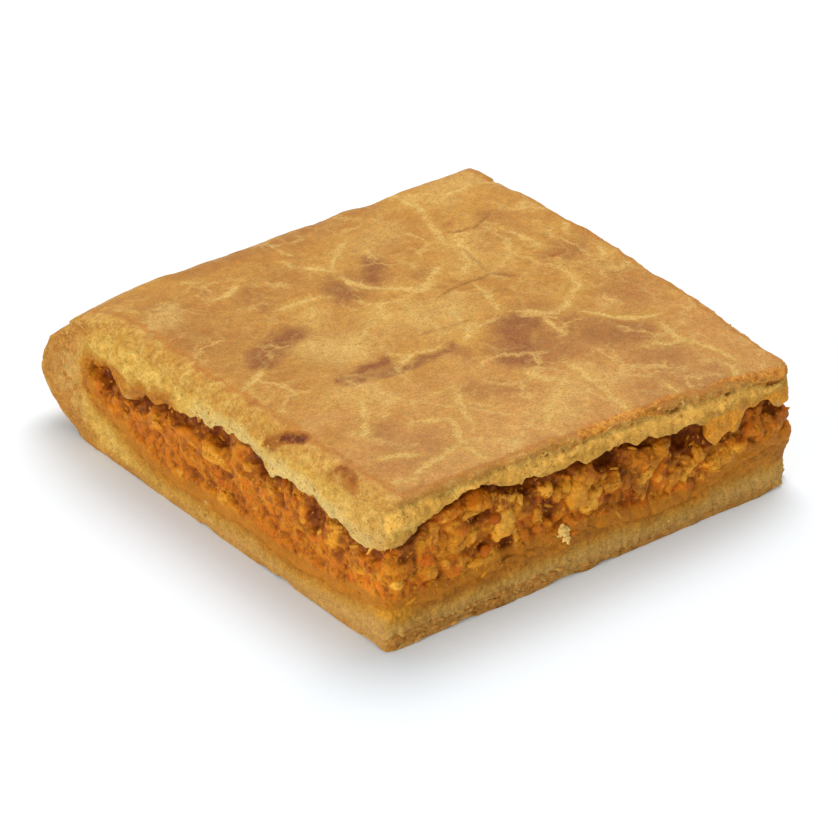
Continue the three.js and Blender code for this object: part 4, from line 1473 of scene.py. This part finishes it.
def bakedDough():
    c, finish = doughColors, doughFinish
    material, tree, shader = newMaterial("bakedDough")
    crumb, soak = attribute(tree, "crumb"), attribute(tree, "soak")
    jitter = centred(tree, noiseField(tree, 0.5, 2.0, 0.7))
    patchy = centred(tree, noiseField(tree, 1.4, 4.0, 0.75))
    uneven = swing(tree, patchy, 2.6)
    bread = cover(tree, c["crumb"], c["crumbShade"], noiseField(tree, 2.6, 4.0, 0.65), 0.36, 0.64)
    skin = frayedSkin(tree, skinColor(tree, jitter), bread, jitter, uneven)
    bread = soakedBread(tree, breadColor(tree, bread, jitter, uneven), soak, jitter)
    color = scorched(tree, mixColor(tree, crumb, skin, bread), patchy, uneven)
    grain = rampNode(tree, crumb, 0, 1, finish["skinGrain"], finish["crumbGrain"])
    rough = rampNode(tree, crumb, 0, 1, finish["skinRough"], finish["crumbRough"])
    rough = calculate(tree, "SUBTRACT", rough, times(tree, soak, 0.3))
    finishSurface(tree, shader, color, grain, rough, finish)
    return material


fillingColors = {
    # nearly black: painted shade in the valleys, in the hollows and under the lid, and the darker places
    "deep": (0.14, 0.024, 0.001),
    "brown": (0.31, 0.080, 0.003),
    "orange": (0.60, 0.175, 0.006),
    "amber": (0.70, 0.275, 0.012),
    # the pale pieces and lighter places, and the painted highlight on the highest places
    "light": (0.86, 0.42, 0.042),
    "red": (0.68, 0.125, 0.003),
    "soaked": (0.49, 0.175, 0.010),
}

fillingFinish = {
    "grain": 1.1,
    "relief": 0.45,
    "reliefHeight": 0.4,
    "shine": 0.1,
    "lightIn": 0.25,  # how much light it lets in, how far its red, green and blue go, and the mm of 1
    "lightSpread": (1.0, 0.35, 0.08),
    "lightReach": 1.6,
}


def moistFilling():
    c, finish = fillingColors, fillingFinish
    material, tree, shader = newMaterial("moistFilling")
    fine = noiseField(tree, 0.8, 3.0, 0.7)
    jitter = centred(tree, fine)
    uneven = swing(tree, jitter, 2.4)
    # painted shade and highlight by the lump height: browner and darker in the valleys, lighter on the
    # highest places
    level = blurred(tree, "lightShadeByHeight", jitter, 0.4)
    color = cover(tree, c["brown"], c["orange"], level, 0.15, 0.58)
    warm = rampNode(tree, noiseField(tree, 4.5, 3.0, 0.6), 0.5, 0.66)
    color = tint(tree, color, c["red"], warm, attribute(tree, "reddish"))
    yellow = rampNode(tree, noiseField(tree, 6.0, 4.0, 0.65, (1, 1, 1.3)), 0.5, 0.68)
    color = tint(tree, color, c["amber"], yellow, 0.75)
    # some of the lumps are pale on top
    pieces = times(tree, rampNode(tree, attribute(tree, "lump"), 0.72, 0.8), rampNode(tree, level, 0.35, 0.6))
    pieces = times(tree, pieces, attribute(tree, "chunky"))
    color = tint(tree, color, c["light"], pieces, 0.7)
    # painted highlight on the highest places
    color = cover(tree, color, c["light"], level, 0.72, 1.05, 0.6)
    color = cover(tree, color, c["brown"], noiseField(tree, 3.2, 4.0, 0.7), 0.5, 0.34, 0.75)
    lighter = times(tree, attribute(tree, "lighter"), uneven)
    color = cover(tree, color, c["amber"], lighter, 0.2, 0.7, 0.75)
    color = cover(tree, color, c["light"], lighter, 0.6, 1.0, 0.6)
    # painted shade in the lowest valleys
    color = cover(tree, color, c["deep"], level, 0.30, 0.02, 0.8)
    # darker places (partly painted shade), painted shade in the hollows and under the lid, and what runs on
    # over the dough
    dark = cover(tree, c["deep"], c["brown"], noiseField(tree, 2.0, 3.0, 0.7), 0.42, 0.66)
    darkerAndShaded = times(tree, attribute(tree, "darkerAndShaded"), uneven)
    color = cover(tree, color, dark, darkerAndShaded, 0.1, 0.9, 0.85)
    color = cover(tree, color, dark, blurred(tree, "sunkAndShaded", jitter, 1.1), 0.15, 0.95, 0.92)
    color = cover(tree, color, c["soaked"], blurred(tree, "merge", jitter, 0.8), 0.2, 1.0, 0.9)
    rough = rampNode(tree, fine, 0.3, 0.7, 0.35, 0.55)
    finishSurface(tree, shader, color, finish["grain"], rough, finish)
    return material


looseColors = {
    # dark, middle and light for the tones from 0 to 1
    "fish": ((0.46, 0.14, 0.006), (0.64, 0.25, 0.014), (0.82, 0.39, 0.043)),
    "tomato": ((0.40, 0.09, 0.003), (0.50, 0.12, 0.004), (0.58, 0.17, 0.007)),
    "grain": ((0.38, 0.11, 0.004), (0.52, 0.17, 0.006), (0.64, 0.25, 0.014)),
    "dough": ((0.48, 0.23, 0.045), (0.62, 0.35, 0.08), (0.86, 0.56, 0.16)),
    "flake": ((0.44, 0.17, 0.025), (0.56, 0.24, 0.04), (0.68, 0.34, 0.075)),
}

looseFinish = {
    "grain": 1.4,
    "relief": 0.4,
    "reliefHeight": 0.3,
    "shine": 0.12,
    "lightSpread": (1.0, 0.4, 0.12),
    "lightReach": 1.2,
}


def toned(name, colors, rough, lightIn):
    # a piece's colour follows its own tone, with a little grain
    finish = {**looseFinish, "lightIn": lightIn}
    material, tree, shader = newMaterial(name)
    mottled = times(tree, centred(tree, noiseField(tree, 1.1, 3.0, 0.65)), 1.4)
    level = plus(tree, attribute(tree, "tone"), mottled)
    color = cover(tree, colors[0], colors[1], level, 0.0, 0.5)
    color = cover(tree, color, colors[2], level, 0.5, 1.1)
    finishSurface(tree, shader, color, finish["grain"], rough, finish)
    return material


crust.data.materials.append(bakedDough())
filling.data.materials.append(moistFilling())
for piece, name, colors, rough, lightIn in (
    (chunks, "fishFlesh", "fish", 0.45, 0.3),
    (shreds, "fishStrands", "fish", 0.45, 0.3),
    (tomato, "tomatoSkin", "tomato", 0.35, 0.2),
    (bits, "fillingBits", "grain", 0.45, 0.2),
    (crumbs, "breadCrumb", "dough", 0.85, 0.0),
    (flakes, "toastedFlake", "flake", 0.7, 0.0),
):
    piece.data.materials.append(toned(name, looseColors[colors], rough, lightIn))


stageLook = {
    "floor": (0.90, 0.925, 0.95),  # a little blue, so that its shadows stay grey beside the dough
    "floorGlow": 0.10,
    "glowColor": (0.5, 0.85, 1.0),
    "sky": 0.42,
    "azimuth": -37.96,  # degrees, as the elevation
    "elevation": 29.94,
    "distance": 0.84028,
    "lens": 182.41,
    "aimHigh": 15,  # the camera aims this many mm over the middle, and from there
    "aimLeft": 2.72,  # this far to the left in the view
    "aimDown": 4.37,  # and this far down
}

# the lamps: place, size and power
lamps = {"overhead": ((0.35, 0.3, 1.0), 0.8, 9.5), "left": ((-1.0, -0.3, 0.22), 0.4, 5.0)}


def makeStage():
    look = stageLook
    bm = bmesh.new()
    bmesh.ops.create_grid(bm, x_segments=1, y_segments=1, size=4)
    mesh = bpy.data.meshes.new("floor")
    bm.to_mesh(mesh)
    bm.free()
    floor = newObject("floor", mesh)
    white, tree, shader = newMaterial("whiteFloor")
    fillInputs(tree, shader, {
        "Base Color": look["floor"], "Roughness": 0.9, "Emission Color": look["glowColor"],
        "Emission Strength": look["floorGlow"]})
    mesh.materials.append(white)

    world = bpy.data.worlds.new("studio")
    bpy.context.scene.world = world
    world.use_nodes = True
    background = world.node_tree.nodes["Background"]
    fillInputs(world.node_tree, background, {"Color": (1, 1, 1), "Strength": look["sky"]})

    for name, (spot, size, power) in lamps.items():
        light = bpy.data.lights.new(name, "AREA")
        light.size = size
        light.energy = power
        lamp = newObject(name, light)
        lamp.location = spot
        lamp.rotation_euler = (-Vector(spot)).to_track_quat("-Z", "Y").to_euler()


def makeCamera():
    look = stageLook
    turn, lift = math.radians(look["azimuth"]), math.radians(look["elevation"])
    back = Vector((math.sin(turn) * math.cos(lift), -math.cos(turn) * math.cos(lift), math.sin(lift)))
    right = Vector((math.cos(turn), math.sin(turn), 0))
    up = back.cross(right)
    aim = Vector((0, 0, look["aimHigh"] * mm)) - right * look["aimLeft"] * mm - up * look["aimDown"] * mm
    data = bpy.data.cameras.new("view")
    data.lens = look["lens"]
    data.sensor_width = 36
    data.clip_start, data.clip_end = 0.01, 20
    camera = newObject("view", data)
    camera.location = aim + Vector(squareMiddle * mm) + back * look["distance"]
    camera.rotation_euler = Matrix((right, up, back)).transposed().to_euler()
    bpy.context.scene.camera = camera


makeStage()
makeCamera()
bpy.context.scene.view_settings.view_transform = "Standard"
say("stage")
